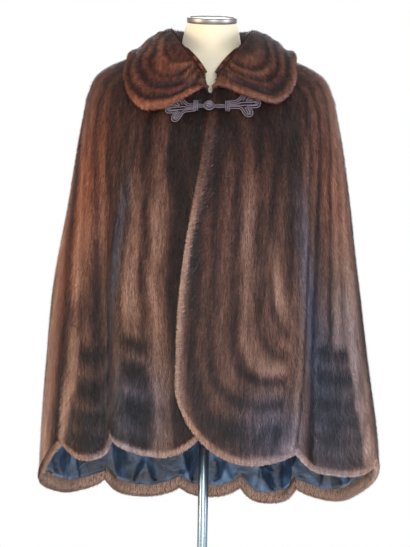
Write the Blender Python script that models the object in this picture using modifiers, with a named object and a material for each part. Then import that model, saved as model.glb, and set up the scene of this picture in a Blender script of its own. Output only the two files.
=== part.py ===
"""Fur cape on a dress form: nine let-out gores with a scalloped hem, a turned-down fur
collar, a lining and a braided cord closure, standing on a torso, a pole and a round base.

Metres, +Z up. The front faces -Y, so the wearer's left is +X. The origin is on the floor,
under the pole. A "turn" is the angle round the cape in degrees, 0 at the centre front and
positive towards the wearer's left. A "fall" runs from 0 at the neck edge to 1 at the hem.
"""

import math
from bisect import bisect_left
from collections import namedtuple
from functools import lru_cache

import bpy
import numpy as np

# Cloth and fur
FUR_WALL = 0.011  # pelt and laid-down hair together
EDGE_SHARE = 0.5  # share of the wall that is left at a free edge, where the fur rounds off
SEAM_GAP = 0.0003
LINING_WALL = 0.0012
LINING_EASE = 0.0010  # the lining hangs this far inside the pelts below the shoulders
LINING_INSET = 6  # half seam gaps from the front seams to the lining's edges
SHOULDER_END = 0.22  # share of the fall from the neck edge to below the shoulder points
SHOULDER_JOIN = 0.12  # share of the fall over which the rings run into the level sections
MIDDLE_HEM_Z = 0.600  # hem height for places so high up that the hem's own doesn't matter
NORMAL_TURN = 1.5  # steps to each side over which the outward direction is measured
NORMAL_FALL = 0.02

# Rings of the outer fur from the neck to below the shoulder. Each has its own height at
# front, side and back; vee is how sharply it dips to the centre front.
Crown = namedtuple("Crown", "fall half_width depth_front depth_back z_front z_side z_back vee")
CROWN = (
    Crown(0.00, 0.078, 0.116, 0.082, 1.299, 1.434, 1.442, 0.38),
    Crown(0.06, 0.130, 0.125, 0.112, 1.308, 1.425, 1.424, 0.75),
    Crown(0.12, 0.190, 0.133, 0.138, 1.298, 1.4075, 1.396, 1.20),
    Crown(0.17, 0.236, 0.140, 0.155, 1.284, 1.379, 1.361, 1.60),
    Crown(0.22, 0.257, 0.147, 0.163, 1.262, 1.335, 1.318, 2.00),
)

DIP_ROUND = 0.03  # share of the half width over which that dip is rounded

# Level sections of the outer fur below the shoulders. lean moves a section towards +X.
Section = namedtuple("Section", "z half_width depth_front depth_back lean")
SECTIONS = (
    Section(1.335, 0.2570, 0.1440, 0.1600, 0.0000),
    Section(1.250, 0.2715, 0.1520, 0.1740, 0.0000),
    Section(1.120, 0.2900, 0.1720, 0.1960, 0.0000),
    Section(0.940, 0.3165, 0.2020, 0.2250, 0.0000),
    Section(0.750, 0.3370, 0.2310, 0.2490, 0.0040),
    Section(0.600, 0.3500, 0.2500, 0.2660, 0.0095),
    Section(0.450, 0.3530, 0.2620, 0.2800, 0.0110),
)
SECTIONS_UP = SECTIONS[::-1]

# Seams between gores: the turn at each of these falls, and the height of the hem's notch there.
SEAM_FALLS = (0.0, 0.22, 0.4, 0.6, 0.8, 1.0)
Seam = namedtuple("Seam", "name turns notch_z")
SEAMS = (
    Seam("left_front", (48, 52, 47, 41, 36, 29.6), 0.617),
    Seam("left_side", (92, 88, 77, 70, 68, 73), 0.584),
    Seam("left_back", (128, 130, 134, 139, 142, 144.5), 0.510),
    Seam("left_middle", (163, 163, 165, 167, 168, 167.8), 0.503),
    Seam("right_middle", (197, 197, 195, 193, 191.5, 190.7), 0.502),
    Seam("right_back", (232, 230, 228, 226, 224, 223.3), 0.528),
    Seam("right_side", (268, 273, 287, 297, 302, 302), 0.620),
    Seam("right_front", (312, 307, 312, 317, 321.5, 322.9), 0.647),
)

# Gores between two seams, with the height of the scallop's lowest point and where across
# the gore it lies.
Gore = namedtuple("Gore", "name seam_from seam_to hem_z low")
GORES = (
    Gore("gore_side_front_left", "left_front", "left_side", 0.570, 0.42),
    Gore("gore_side_back_left", "left_side", "left_back", 0.492, 0.66),
    Gore("gore_back_left", "left_back", "left_middle", 0.466, 0.50),
    Gore("gore_back_centre", "left_middle", "right_middle", 0.475, 0.50),
    Gore("gore_back_right", "right_middle", "right_back", 0.478, 0.50),
    Gore("gore_side_back_right", "right_back", "right_side", 0.508, 0.38),
    Gore("gore_side_front_right", "right_side", "right_front", 0.592, 0.66),
)
GAP_RING_Z = 1.100  # ring whose size turns a seam's gap into a turn, below the shoulders
SEAM_SLANT = 1.6  # the seams slant, so their gap is this much wider along the ring
GORE_COLUMNS = 8
GORE_FALLS = (
    *(0.0, 0.04, 0.08, 0.12, 0.15, 0.185, 0.22),
    *(0.29, 0.37, 0.46, 0.55, 0.64, 0.73, 0.82, 0.91, 0.98, 1.0),
)
SCALLOP_POWER = 2.2

# Centre fronts: x of the free edge at some heights, then a round lower corner.
EdgePoint = namedtuple("EdgePoint", "z x")
LEFT_EDGE = (
    EdgePoint(1.335, 0.0002),
    EdgePoint(1.290, -0.0045),
    EdgePoint(1.210, -0.0170),
    EdgePoint(1.100, -0.0350),
    EdgePoint(1.000, -0.0480),
    EdgePoint(0.910, -0.0560),
    EdgePoint(0.775, -0.0610),
)
RIGHT_EDGE = (
    EdgePoint(1.335, -0.0002),
    EdgePoint(1.290, -0.0050),
    EdgePoint(1.210, -0.0175),
    EdgePoint(1.100, 0.0060),
    EdgePoint(1.000, 0.0200),
    EdgePoint(0.910, 0.0260),
    EdgePoint(0.800, 0.0280),
)
Front = namedtuple("Front", "name edge seam corner_z bottom_x bottom_z")
FRONTS = (
    Front("gore_front_left", LEFT_EDGE, "left_front", 0.775, 0.081, 0.594),
    Front("gore_front_right", RIGHT_EDGE, "right_front", 0.790, -0.090, 0.607),
)
CORNER_COLUMNS = 5
STRAIGHT_COLUMNS = 4
LAP_LIFT = 0.0125  # the left front lies this far out over the right one
LAP_FALLS = (0.06, 0.26)  # where down the front the lift grows
LAP_TURNS = (6.0, 28.0)  # where round the front it fades out

# Folds that hang from the shoulders. depth is outwards at the hem, negative for a trough.
Fold = namedtuple("Fold", "name turn_top turn_hem half_width depth start")
FOLDS = (
    Fold("left_front_ridge", 46, 31.0, 6.0, 0.009, 0.25),
    Fold("left_front_trough", 62, 39.5, 6.0, -0.019, 0.16),
    Fold("left_side_ridge", 88, 64.0, 13.0, 0.008, 0.30),
    Fold("left_under_arm_trough", 108, 112.0, 11.0, -0.012, 0.35),
    Fold("left_back_trough", 132, 143.5, 7.0, -0.022, 0.30),
    Fold("left_back_ridge", 150, 154.0, 4.5, 0.018, 0.45),
    Fold("left_middle_trough", 161, 164.5, 5.0, -0.016, 0.40),
    Fold("centre_back_ridge", 180, 179.0, 7.0, 0.012, 0.35),
    Fold("right_middle_trough", 197, 191.0, 5.5, -0.017, 0.38),
    Fold("right_back_ridge", 214, 207.0, 8.0, 0.014, 0.35),
    Fold("right_back_trough", 231, 223.0, 7.0, -0.023, 0.28),
    Fold("right_under_arm_trough", 252, 250.0, 11.0, -0.011, 0.35),
    Fold("right_side_ridge", 276, 300.0, 11.0, 0.008, 0.30),
    Fold("right_front_trough", 303, 320.5, 5.5, -0.036, 0.14),
    Fold("right_front_ridge", 318, 331.0, 6.0, 0.010, 0.25),
)

# Collar by turn: how far it lies down the cape, as a fall, on the wearer's left and right,
# and how high it stands off the cape at its roll and at its outer edge.
CollarRow = namedtuple("CollarRow", "turn reach_left reach_right roll edge")
COLLAR = (
    CollarRow(0, 0.014, 0.014, 0.012, 0.008),
    CollarRow(8, 0.036, 0.045, 0.014, 0.010),
    CollarRow(14, 0.075, 0.105, 0.017, 0.012),
    CollarRow(20, 0.125, 0.168, 0.020, 0.014),
    CollarRow(26, 0.160, 0.193, 0.024, 0.016),
    CollarRow(32, 0.178, 0.200, 0.028, 0.017),
    CollarRow(40, 0.172, 0.185, 0.032, 0.017),
    CollarRow(50, 0.148, 0.155, 0.036, 0.016),
    CollarRow(63, 0.118, 0.118, 0.041, 0.015),
    CollarRow(90, 0.096, 0.094, 0.045, 0.014),
    CollarRow(135, 0.135, 0.135, 0.047, 0.016),
    CollarRow(180, 0.160, 0.160, 0.048, 0.018),
)
COLLAR_COLUMNS = 48
COLLAR_CROWDING = 1.45  # above 1, slices stand closer beside the centre front
COLLAR_CLEAR = 0.0016  # over the gores, whose facets are finer
COLLAR_FRONT_CLEAR = 0.0030  # this much more in front, where it lies over the cords
COLLAR_FRONT_TURNS = (45.0, 62.0)  # where that ends
COLLAR_OPEN_TURN = 2.6  # half of the opening at the centre front
STAND_IN = 0.0145  # the stand's inner face from the neck edge, towards the neck

# One slice of the collar, from under its outer edge over the top and down the stand: the
# share of its reach, its height as parts of the edge's and the roll's, and its share of STAND_IN.
CollarPlace = namedtuple("CollarPlace", "share of_edge of_roll inwards")
COLLAR_SLICE = (
    CollarPlace(0.00, 0.00, 0.00, 0.00),
    CollarPlace(0.25, 0.00, 0.00, 0.00),
    CollarPlace(0.50, 0.00, 0.00, 0.00),
    CollarPlace(0.75, 0.00, 0.00, 0.00),
    CollarPlace(0.94, 0.00, 0.00, 0.00),
    CollarPlace(1.00, 0.30, 0.00, 0.00),
    CollarPlace(1.03, 0.62, 0.00, 0.00),
    CollarPlace(0.97, 1.00, 0.00, 0.00),
    CollarPlace(0.82, 1.25, 0.00, 0.00),
    CollarPlace(0.60, 0.45, 0.55, 0.00),
    CollarPlace(0.35, 0.15, 0.85, 0.00),
    CollarPlace(0.12, 0.00, 1.00, 0.00),
    CollarPlace(0.00, 0.00, 0.97, 0.30),
    CollarPlace(0.00, 0.00, 0.72, 0.85),
    CollarPlace(0.00, 0.00, 0.35, 1.00),
    CollarPlace(0.00, 0.00, 0.00, 0.90),
)

# Dress form: sections of the torso from the neck down. shift moves one along +Y.
FormSection = namedtuple("FormSection", "z half_width depth_front depth_back shift power")
FORM = (
    FormSection(1.4880, 0.0515, 0.0520, 0.0520, -0.014, 2.0),
    FormSection(1.4620, 0.0590, 0.0570, 0.0560, -0.010, 2.0),
    FormSection(1.4360, 0.0620, 0.0600, 0.0590, -0.004, 2.0),
    FormSection(1.4225, 0.0695, 0.0665, 0.0620, 0.0, 1.9),
    FormSection(1.4152, 0.1010, 0.0700, 0.0680, 0.0, 1.75),
    FormSection(1.4050, 0.1480, 0.0760, 0.0780, 0.0, 1.75),
    FormSection(1.3930, 0.1760, 0.0820, 0.0870, 0.0, 1.85),
    FormSection(1.3680, 0.1920, 0.0900, 0.0990, 0.0, 2.0),
    FormSection(1.3360, 0.1940, 0.0960, 0.1060, 0.0, 2.1),
    FormSection(1.2800, 0.1880, 0.1070, 0.1130, 0.0, 2.3),
    FormSection(1.1950, 0.1720, 0.1280, 0.1120, 0.0, 2.2),
    FormSection(1.1100, 0.1500, 0.1150, 0.1000, 0.0, 2.1),
    FormSection(1.0200, 0.1320, 0.0950, 0.0900, 0.0, 2.0),
    FormSection(0.9200, 0.1560, 0.1080, 0.1180, 0.0, 2.1),
    FormSection(0.8400, 0.1700, 0.1130, 0.1300, 0.0, 2.2),
    FormSection(0.7900, 0.1680, 0.1130, 0.1290, 0.0, 2.2),
)
FORM_COLUMNS = 32
NECK_TILT = math.radians(11.5)  # the neck's top faces forwards
NECK_TILT_FROM_Z = 1.418
CAP_RADIUS = 0.0518
CAP_HEIGHT = 0.0115
CAP_BEVEL = 0.0025

# Stand
POLE_RADIUS = 0.0105
SOCKET_HEIGHT = 0.012
# Profiles from the top to the bottom: the socket's from the torso down, the base's from the floor up.
ProfilePoint = namedtuple("ProfilePoint", "radius z")
SOCKET_PROFILE = (
    ProfilePoint(0.0000, 0.0),
    ProfilePoint(0.0300, 0.0),
    ProfilePoint(0.0300, -0.0072),
    ProfilePoint(0.0168, -SOCKET_HEIGHT),
    ProfilePoint(0.0000, -SOCKET_HEIGHT),
)
HUB_TOP_Z = 0.072
BASE_PROFILE = (
    ProfilePoint(0.0000, HUB_TOP_Z),
    ProfilePoint(0.0158, HUB_TOP_Z),
    ProfilePoint(0.0240, 0.062),
    ProfilePoint(0.0240, 0.026),
    ProfilePoint(0.0360, 0.022),
    ProfilePoint(0.1080, 0.019),
    ProfilePoint(0.1720, 0.014),
    ProfilePoint(0.1800, 0.010),
    ProfilePoint(0.1800, 0.0),
    ProfilePoint(0.0000, 0.0),
)
ROUND_SIDES = 32
TURN_MERGE = 0.00005

# Cord closure, measured from its middle on the centre front
CLOSURE_X = 0.001
CLOSURE_Z = 1.304
CORD_BAND = 0.0062  # width of three cords side by side
CORD_THICK = 0.0030
CORD_CLEAR = 0.0008
LobePoint = namedtuple("LobePoint", "x z")
# One half of the closure: its band of cords goes round three lobes and comes back.
LOBES = (
    LobePoint(0.0390, 0.0065),
    LobePoint(0.0530, 0.0085),
    LobePoint(0.0640, 0.0180),
    LobePoint(0.0740, 0.0245),
    LobePoint(0.0825, 0.0225),
    LobePoint(0.0820, 0.0145),
    LobePoint(0.0740, 0.0085),
    LobePoint(0.0800, 0.0060),
    LobePoint(0.0900, 0.0085),
    LobePoint(0.0975, 0.0040),
    LobePoint(0.0940, -0.0035),
    LobePoint(0.0820, -0.0050),
    LobePoint(0.0740, -0.0060),
    LobePoint(0.0800, -0.0125),
    LobePoint(0.0795, -0.0210),
    LobePoint(0.0710, -0.0235),
    LobePoint(0.0650, -0.0170),
    LobePoint(0.0600, -0.0085),
    LobePoint(0.0510, -0.0060),
    LobePoint(0.0390, -0.0060),
)
LOBE_SMOOTHING = 2
LOBE_THINNING = 3  # then one point in this many is kept
# The band of cords across: shares of half its width, and of its thickness
BandPoint = namedtuple("BandPoint", "across height")
BAND = (
    BandPoint(-1.0, 0.0),
    BandPoint(-1.0, 0.6),
    BandPoint(-0.5, 1.0),
    BandPoint(0.5, 1.0),
    BandPoint(1.0, 0.6),
    BandPoint(1.0, 0.0),
)
PLACE_HALVINGS = 40
LEAN_STEP = 0.010
HALF_DROOP = {"left": math.radians(4.0), "right": math.radians(-7.0)}
WRAP_X = 0.0335
WRAP_SIZE = (0.0085, 0.0060, 0.0230)
WRAP_OUT = 0.0050  # its middle, out from the fur
WRAP_BEVEL = 0.0018
KNOT_X = -0.003
KNOT_RADIUS = 0.0078
KNOT_OUT = 0.0075
LOOP_RADIUS = 0.0100
LOOP_CORD = 0.0019
LOOP_OUT = 0.0057

SMOOTH_ANGLE = math.radians(40)
# Colour (linear), roughness and metallic
MATERIALS = {
    "fur": ((0.075, 0.042, 0.030), 0.55, 0.0),
    "lining": ((0.013, 0.022, 0.045), 0.35, 0.0),
    "cord": ((0.040, 0.030, 0.036), 0.45, 0.0),
    "form": ((0.820, 0.740, 0.570), 0.75, 0.0),
    "chrome": ((0.700, 0.740, 0.770), 0.18, 1.0),
    "cap": ((0.420, 0.400, 0.330), 0.35, 1.0),
    "base": ((0.300, 0.310, 0.320), 0.35, 1.0),
}


# Curves through tables


def slope_at(places, values, index):
    low, high = max(index - 1, 0), min(index + 1, len(places) - 1)
    return (values[high] - values[low]) / (places[high] - places[low])


def through(places, values, at):
    """A smooth curve through the values at the rising places, read at one place."""
    at = min(max(at, places[0]), places[-1])
    cell = min(max(bisect_left(places, at) - 1, 0), len(places) - 2)
    width = places[cell + 1] - places[cell]
    part = (at - places[cell]) / width
    rise = slope_at(places, values, cell) * width
    leave = slope_at(places, values, cell + 1) * width
    start = values[cell] * (1 + 2 * part) + rise * part
    end = values[cell + 1] * (3 - 2 * part) - leave * (1 - part)
    return start * (1 - part) ** 2 + end * part**2


@lru_cache(maxsize=None)
def column(rows, name):
    return tuple(getattr(row, name) for row in rows)


def ease(low, high, at):
    """0 below low, 1 above high and smooth between them."""
    part = min(max((at - low) / (high - low), 0.0), 1.0)
    return part * part * (3 - 2 * part)


# The cape's outer form


def section_value(name, z):
    return through(column(SECTIONS_UP, "z"), column(SECTIONS_UP, name), z)


def crown_value(name, fall):
    return through(column(CROWN, "fall"), column(CROWN, name), fall)


def crown_height(turn, fall):
    """The height of the crown's ring of this fall. It dips at the centre front."""
    sideways = abs(math.sin(math.radians(turn)))
    side = crown_value("z_side", fall)
    if math.cos(math.radians(turn)) > 0:
        front = crown_value("z_front", fall)
        dipped = (sideways**2 + DIP_ROUND**2 * (1 - sideways**2)) ** 0.5
        return front + (side - front) * dipped ** crown_value("vee", fall)
    back = crown_value("z_back", fall)
    return back + (side - back) * sideways**2


def joined_size(name, fall, z, top):
    """A level section's size, or right below the shoulder the last ring's, widened as fast."""
    level = section_value(name, z)
    from_ring = crown_value(name, SHOULDER_END) + level - section_value(name, top)
    return from_ring + (level - from_ring) * ease(SHOULDER_END, SHOULDER_END + SHOULDER_JOIN, fall)


def plain_point(turn, fall, hem_z=MIDDLE_HEM_Z):
    """A point on the outer form without its folds."""
    angle = math.radians(turn)
    depth_name = "depth_front" if math.cos(angle) > 0 else "depth_back"
    if fall <= SHOULDER_END:
        z = crown_height(turn, fall)
        half_width = crown_value("half_width", fall)
        depth = crown_value(depth_name, fall)
        lean = 0.0
    else:
        top = crown_height(turn, SHOULDER_END)
        z = top + (hem_z - top) * (fall - SHOULDER_END) / (1 - SHOULDER_END)
        half_width = joined_size("half_width", fall, z, top)
        depth = joined_size(depth_name, fall, z, top)
        lean = section_value("lean", z)
    return np.array((lean + half_width * math.sin(angle), -depth * math.cos(angle), z))


def plain_normal(turn, fall, hem_z=MIDDLE_HEM_Z):
    """The outward direction of the plain form."""
    low, high = max(fall - NORMAL_FALL, 0.0), min(fall + NORMAL_FALL, 1.0)
    before, after = (plain_point(turn + step, fall, hem_z) for step in (-NORMAL_TURN, NORMAL_TURN))
    down = plain_point(turn, high, hem_z) - plain_point(turn, low, hem_z)
    normal = np.cross(down, after - before)
    return normal / np.linalg.norm(normal)


def fold_depth(turn, fall):
    """How far the folds move the fur in or out here."""
    total = 0.0
    for fold in FOLDS:
        grown = ease(fold.start, 1.0, fall) ** 0.8
        middle = fold.turn_hem + (fold.turn_top - fold.turn_hem) * (1 - fall) ** 1.5
        across = ((turn - middle + 180) % 360 - 180) / fold.half_width
        total += fold.depth * grown * math.exp(-across * across)
    return total


def lap_lift(turn, fall):
    """How far the left front is lifted where it lies over the right one."""
    signed = (turn + 180) % 360 - 180
    if signed > 90 or signed < -90:
        return 0.0
    return LAP_LIFT * ease(*LAP_FALLS, fall) * (1 - ease(*LAP_TURNS, signed))


def cape_point(turn, fall, hem_z, inwards=0.0):
    """A point that lies inwards of the outer fur by a distance."""
    normal = plain_normal(turn, fall, hem_z)
    out = fold_depth(turn, fall) - inwards
    return plain_point(turn, fall, hem_z) + normal * out


def seam_turn(name, fall):
    seam = next(seam for seam in SEAMS if seam.name == name)
    return through(SEAM_FALLS, seam.turns, fall)


def notch_height(name):
    return next(seam.notch_z for seam in SEAMS if seam.name == name)


def scallop_height(gore, across):
    """The hem's height at a share of the gore's width: notches at 0 and 1."""
    notch_from, notch_to = notch_height(gore.seam_from), notch_height(gore.seam_to)
    across = across ** (math.log(0.5) / math.log(gore.low))
    level = notch_from + (notch_to - notch_from) * across
    drop = (notch_from + notch_to) / 2 - gore.hem_z
    return level - drop * (1 - abs(2 * across - 1) ** SCALLOP_POWER)


def gore_place(gore, across, fall):
    """(turn, hem height) at a share of the gore's width."""
    start, end = seam_turn(gore.seam_from, fall), seam_turn(gore.seam_to, fall)
    return start + (end - start) * across, scallop_height(gore, across)


def gap_turn(fall):
    """Half a seam's gap as a turn."""
    if fall < SHOULDER_END:
        ring = crown_value("half_width", fall)
    else:
        ring = section_value("half_width", GAP_RING_Z)
    return math.degrees(SEAM_GAP / 2 / ring) * SEAM_SLANT


# Meshes


def finish(obj, material_name):
    colour, roughness, metallic = MATERIALS[material_name]
    material = bpy.data.materials.get(material_name)
    if material is None:
        material = bpy.data.materials.new(material_name)
        material.use_nodes = True
        shader = material.node_tree.nodes["Principled BSDF"]
        shader.inputs["Base Color"].default_value = (*colour, 1.0)
        shader.inputs["Roughness"].default_value = roughness
        shader.inputs["Metallic"].default_value = metallic
    obj.data.materials.clear()
    obj.data.materials.append(material)
    obj.data.shade_smooth()
    obj.data.set_sharp_from_angle(angle=SMOOTH_ANGLE)
    for collection in list(obj.users_collection):
        collection.objects.unlink(obj)
    bpy.data.collections["fur_cape"].objects.link(obj)
    return obj


def mesh_object(name, points, faces, material_name):
    mesh = bpy.data.meshes.new(name)
    mesh.from_pydata([tuple(map(float, point)) for point in points], [], faces)
    mesh.update()
    obj = bpy.data.objects.new(name, mesh)
    bpy.context.scene.collection.objects.link(obj)
    diagonals = obj.modifiers.new("Even diagonals", "TRIANGULATE")
    diagonals.quad_method = "FIXED"
    return finish(obj, material_name)


def wall(name, outer, inner, material_name):
    """A closed wall between two grids of points, each of rows down and columns across.

    Both of its upright sides split along the same diagonals, so that two walls with one
    seam stay parallel there.
    """
    rows, columns = len(outer), len(outer[0])
    points = [point for grid in (outer, inner) for row in grid for point in row]
    inside = rows * columns

    def at(side, row, col):
        return side * inside + row * columns + col

    faces = []
    for row in range(rows - 1):
        for col in range(columns - 1):
            low, high, beside = (row + 1, col), (row + 1, col + 1), (row, col + 1)
            faces.append([at(0, row, col), at(0, *low), at(0, *high), at(0, *beside)])
            faces.append([at(1, row, col), at(1, *beside), at(1, *high), at(1, *low)])
    rim = [(0, col) for col in range(columns - 1)]
    rim += [(row, columns - 1) for row in range(rows - 1)]
    rim += [(rows - 1, col) for col in range(columns - 1, 0, -1)]
    rim += [(row, 0) for row in range(rows - 1, 0, -1)]
    for here, there in zip(rim, rim[1:] + rim[:1]):
        quad = [at(0, *here), at(0, *there), at(1, *there), at(1, *here)]
        climbs = there[0] < here[0]
        faces.append(quad[1:] + quad[:1] if climbs else quad)
    return mesh_object(name, points, faces, material_name)


def loft(name, loops, material_name):
    """A closed body through loops of points, each with the same count, and its two caps."""
    count = len(loops[0])
    points = [point for loop in loops for point in loop]
    faces = []
    for loop in range(len(loops) - 1):
        for place in range(count):
            after = (place + 1) % count
            low, high = loop * count, (loop + 1) * count
            faces.append([low + place, low + after, high + after, high + place])
    faces.append(list(range(count))[::-1])
    faces.append([(len(loops) - 1) * count + place for place in range(count)])
    return mesh_object(name, points, faces, material_name)


# Gores


def rounding(fall, at_edge=False):
    """How far the outer fur comes in where it rounds off at the hem and at a free edge."""
    left = (EDGE_SHARE if fall == 1.0 else 1.0) * (EDGE_SHARE if at_edge else 1.0)
    return FUR_WALL * (1 - left)


def build_gore(gore):
    outer, inner = [], []
    for fall in GORE_FALLS:
        outer_row, inner_row = [], []
        for index in range(GORE_COLUMNS + 1):
            across = index / GORE_COLUMNS
            turn, hem_z = gore_place(gore, across, fall)
            turn += gap_turn(fall) * ((index == 0) - (index == GORE_COLUMNS))
            outer_row.append(cape_point(turn, fall, hem_z, rounding(fall)))
            inner_row.append(cape_point(turn, fall, hem_z, FUR_WALL))
        outer.append(outer_row)
        inner.append(inner_row)
    return wall(gore.name, outer, inner, "fur")


def front_shares(front):
    """The round corner's share of the width, and the shares that the columns stand at.

    They run from the free edge to the seam and crowd towards the edge, to follow the corner.
    """
    edge_x = abs(front.edge[-1].x - front.bottom_x)
    seam_x = section_value("half_width", front.bottom_z) * math.sin(
        math.radians(seam_turn(front.seam, 1.0))
    )
    corner = edge_x / abs(seam_x - front.edge[-1].x)
    quarter = [index / CORNER_COLUMNS * math.pi / 2 for index in range(CORNER_COLUMNS + 1)]
    shares = [corner * (1 - math.cos(angle)) for angle in quarter]
    straight = [index / STRAIGHT_COLUMNS for index in range(1, STRAIGHT_COLUMNS + 1)]
    return corner, shares + [corner + (1 - corner) * part for part in straight]


def front_hem(front, corner, share):
    """The front's hem: a quarter ellipse up to the free edge, and a slow rise to the seam."""
    if share < corner:
        part = 1 - share / corner
        return front.bottom_z + (front.corner_z - front.bottom_z) * (1 - math.sqrt(1 - part * part))
    part = (share - corner) / (1 - corner)
    return front.bottom_z + (notch_height(front.seam) - front.bottom_z) * part**2


def edge_turn(front, fall):
    """The turn of the free edge, from its x at this height."""
    rows = front.edge[::-1]
    middle = plain_point(0.0, fall, front.corner_z)
    x = through(column(rows, "z"), column(rows, "x"), middle[2])
    return math.degrees(math.asin(x / plain_point(90.0, fall, front.corner_z)[0]))


def build_front(front):
    corner, shares = front_shares(front)
    side = 1 if front.name.endswith("left") else -1
    outer, inner = [], []
    for fall in GORE_FALLS:
        start = edge_turn(front, fall)
        end = seam_turn(front.seam, fall)
        end = (end + 180) % 360 - 180 - side * gap_turn(fall)
        outer_row, inner_row = [], []
        for index, share in enumerate(shares):
            turn = start + (end - start) * share
            hem_z = front_hem(front, corner, share)
            lift = lap_lift(turn, fall) if side > 0 else 0.0
            outer_row.append(cape_point(turn, fall, hem_z, rounding(fall, index == 0) - lift))
            inner_row.append(cape_point(turn, fall, hem_z, FUR_WALL - lift))
        outer.append(outer_row[::side])
        inner.append(inner_row[::side])
    return wall(front.name, outer, inner, "fur")


def build_lining():
    """One sheet inside the side and back gores, where it shows under the front hem."""
    outer, inner = [], []
    for fall in GORE_FALLS[:-1]:
        ease_in = SEAM_GAP + (LINING_EASE - SEAM_GAP) * ease(0.2, 0.4, fall)
        outer_row, inner_row = [], []
        for gore in GORES:
            for index in range(GORE_COLUMNS + (gore is GORES[-1])):
                turn, hem_z = gore_place(gore, index / GORE_COLUMNS, fall)
                first = gore is GORES[0] and index == 0
                last = gore is GORES[-1] and index == GORE_COLUMNS
                turn += gap_turn(fall) * LINING_INSET * (first - last)
                outer_row.append(cape_point(turn, fall, hem_z, FUR_WALL + ease_in))
                inner_row.append(cape_point(turn, fall, hem_z, FUR_WALL + ease_in + LINING_WALL))
        outer.append(outer_row)
        inner.append(inner_row)
    return wall("lining", outer, inner, "lining")


# Collar


def collar_value(name, turn):
    folded = abs((turn + 180) % 360 - 180)
    return through(column(COLLAR, "turn"), column(COLLAR, name), folded)


def collar_loop(turn):
    """One slice of the collar: under it, round its edge, over the top and down the stand."""
    end = collar_value("reach_left" if turn < 180 else "reach_right", turn)
    roll, edge = collar_value("roll", turn), collar_value("edge", turn)
    in_front = 1 - ease(*COLLAR_FRONT_TURNS, min(turn, 360 - turn))
    clear = COLLAR_CLEAR + COLLAR_FRONT_CLEAR * in_front
    outwards = plain_point(turn, 0.0) * (1, 1, 0)
    inwards = -outwards / np.linalg.norm(outwards) * STAND_IN
    loop = []
    for place in COLLAR_SLICE:
        fall = end * place.share
        out = max(edge * place.of_edge + roll * place.of_roll, clear) + lap_lift(turn, fall)
        point = plain_point(turn, fall) + plain_normal(turn, fall) * out
        loop.append(point + inwards * place.inwards)
    return loop


def build_collar():
    """Its slices crowd towards the centre front, where the neck edge turns down."""
    loops = []
    for index in range(COLLAR_COLUMNS + 1):
        part = 2 * index / COLLAR_COLUMNS - 1
        crowded = math.copysign(1 - (1 - abs(part)) ** COLLAR_CROWDING, part)
        loops.append(collar_loop(180 + (180 - COLLAR_OPEN_TURN) * crowded)[::-1])
    return loft("collar", loops, "fur")


# Cord closure


def front_place(x, z):
    """(turn, fall) of the point of the plain front that shows at x and z."""
    low, high = 0.0, 1.0
    for _ in range(PLACE_HALVINGS):
        fall = (low + high) / 2
        turn = math.degrees(math.asin(x / plain_point(90.0, fall)[0]))
        if plain_point(turn, fall)[2] > z:
            low = fall
        else:
            high = fall
    return turn, fall


def on_front(x, z, out):
    """A point a distance out from the fur of the front, over the point at x and z."""
    turn, fall = front_place(x, z)
    lift = lap_lift(turn, fall)
    return plain_point(turn, fall) + plain_normal(turn, fall) * (lift + out)


def rounded(points, times):
    """Cuts the corners of an open line this many times."""
    for _ in range(times):
        cut = [points[0]]
        for here, there in zip(points, points[1:]):
            cut += [here * 0.75 + there * 0.25, here * 0.25 + there * 0.75]
        points = cut + [points[-1]]
    return points


def build_closure_half(side_name):
    """A flat band of cords, laid in three lobes on the fur."""
    side = 1 if side_name == "left" else -1
    sin, cos = math.sin(HALF_DROOP[side_name]), math.cos(HALF_DROOP[side_name])
    line = rounded([np.array(point) for point in LOBES], LOBE_SMOOTHING)[::LOBE_THINNING]
    line = [np.array((x * cos - z * sin * side, z * cos + x * sin)) for x, z in line]
    loops = []
    for index, place in enumerate(line):
        along = line[min(index + 1, len(line) - 1)] - line[max(index - 1, 0)]
        across = np.array((-along[1], along[0])) / np.linalg.norm(along) * CORD_BAND / 2
        loop = []
        for point in BAND:
            x, z = place + across * point.across
            out = CORD_CLEAR + CORD_THICK * point.height
            loop.append(on_front(CLOSURE_X + x * side, CLOSURE_Z + z, out))
        loops.append(loop[::-side])
    return loft(f"closure_{side_name}", loops, "cord")


def front_lean(x, z):
    """How far the fur of the front leans back here, as an angle from upright."""
    lean = on_front(x, z + LEAN_STEP, 0.0) - on_front(x, z - LEAN_STEP, 0.0)
    return math.atan2(lean[1], lean[2])


def build_wrap(side_name):
    """The turns of cord that hold a half together beside the centre."""
    side = 1 if side_name == "left" else -1
    x, z = CLOSURE_X + side * WRAP_X, CLOSURE_Z
    bpy.ops.mesh.primitive_cube_add(size=1, location=on_front(x, z, WRAP_OUT))
    obj = bpy.context.active_object
    obj.name = f"closure_wrap_{side_name}"
    obj.scale = WRAP_SIZE
    bpy.ops.object.transform_apply(location=False, rotation=False, scale=True)
    obj.rotation_euler.x = -front_lean(x, z)
    soft = obj.modifiers.new("Soft edges", "BEVEL")
    soft.width = WRAP_BEVEL
    soft.segments = 2
    return finish(obj, "cord")


def build_knot():
    bpy.ops.mesh.primitive_uv_sphere_add(
        segments=16,
        ring_count=10,
        radius=KNOT_RADIUS,
        location=on_front(KNOT_X, CLOSURE_Z, KNOT_OUT),
    )
    obj = bpy.context.active_object
    obj.name = "closure_knot"
    return finish(obj, "cord")


def build_loop():
    """The cord loop round the knot."""
    bpy.ops.mesh.primitive_torus_add(
        major_segments=28,
        minor_segments=8,
        major_radius=LOOP_RADIUS,
        minor_radius=LOOP_CORD,
        location=on_front(KNOT_X, CLOSURE_Z, LOOP_OUT),
        rotation=(math.pi / 2 - front_lean(KNOT_X, CLOSURE_Z), 0, 0),
    )
    obj = bpy.context.active_object
    obj.name = "closure_loop"
    return finish(obj, "cord")


# Dress form and stand


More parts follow.
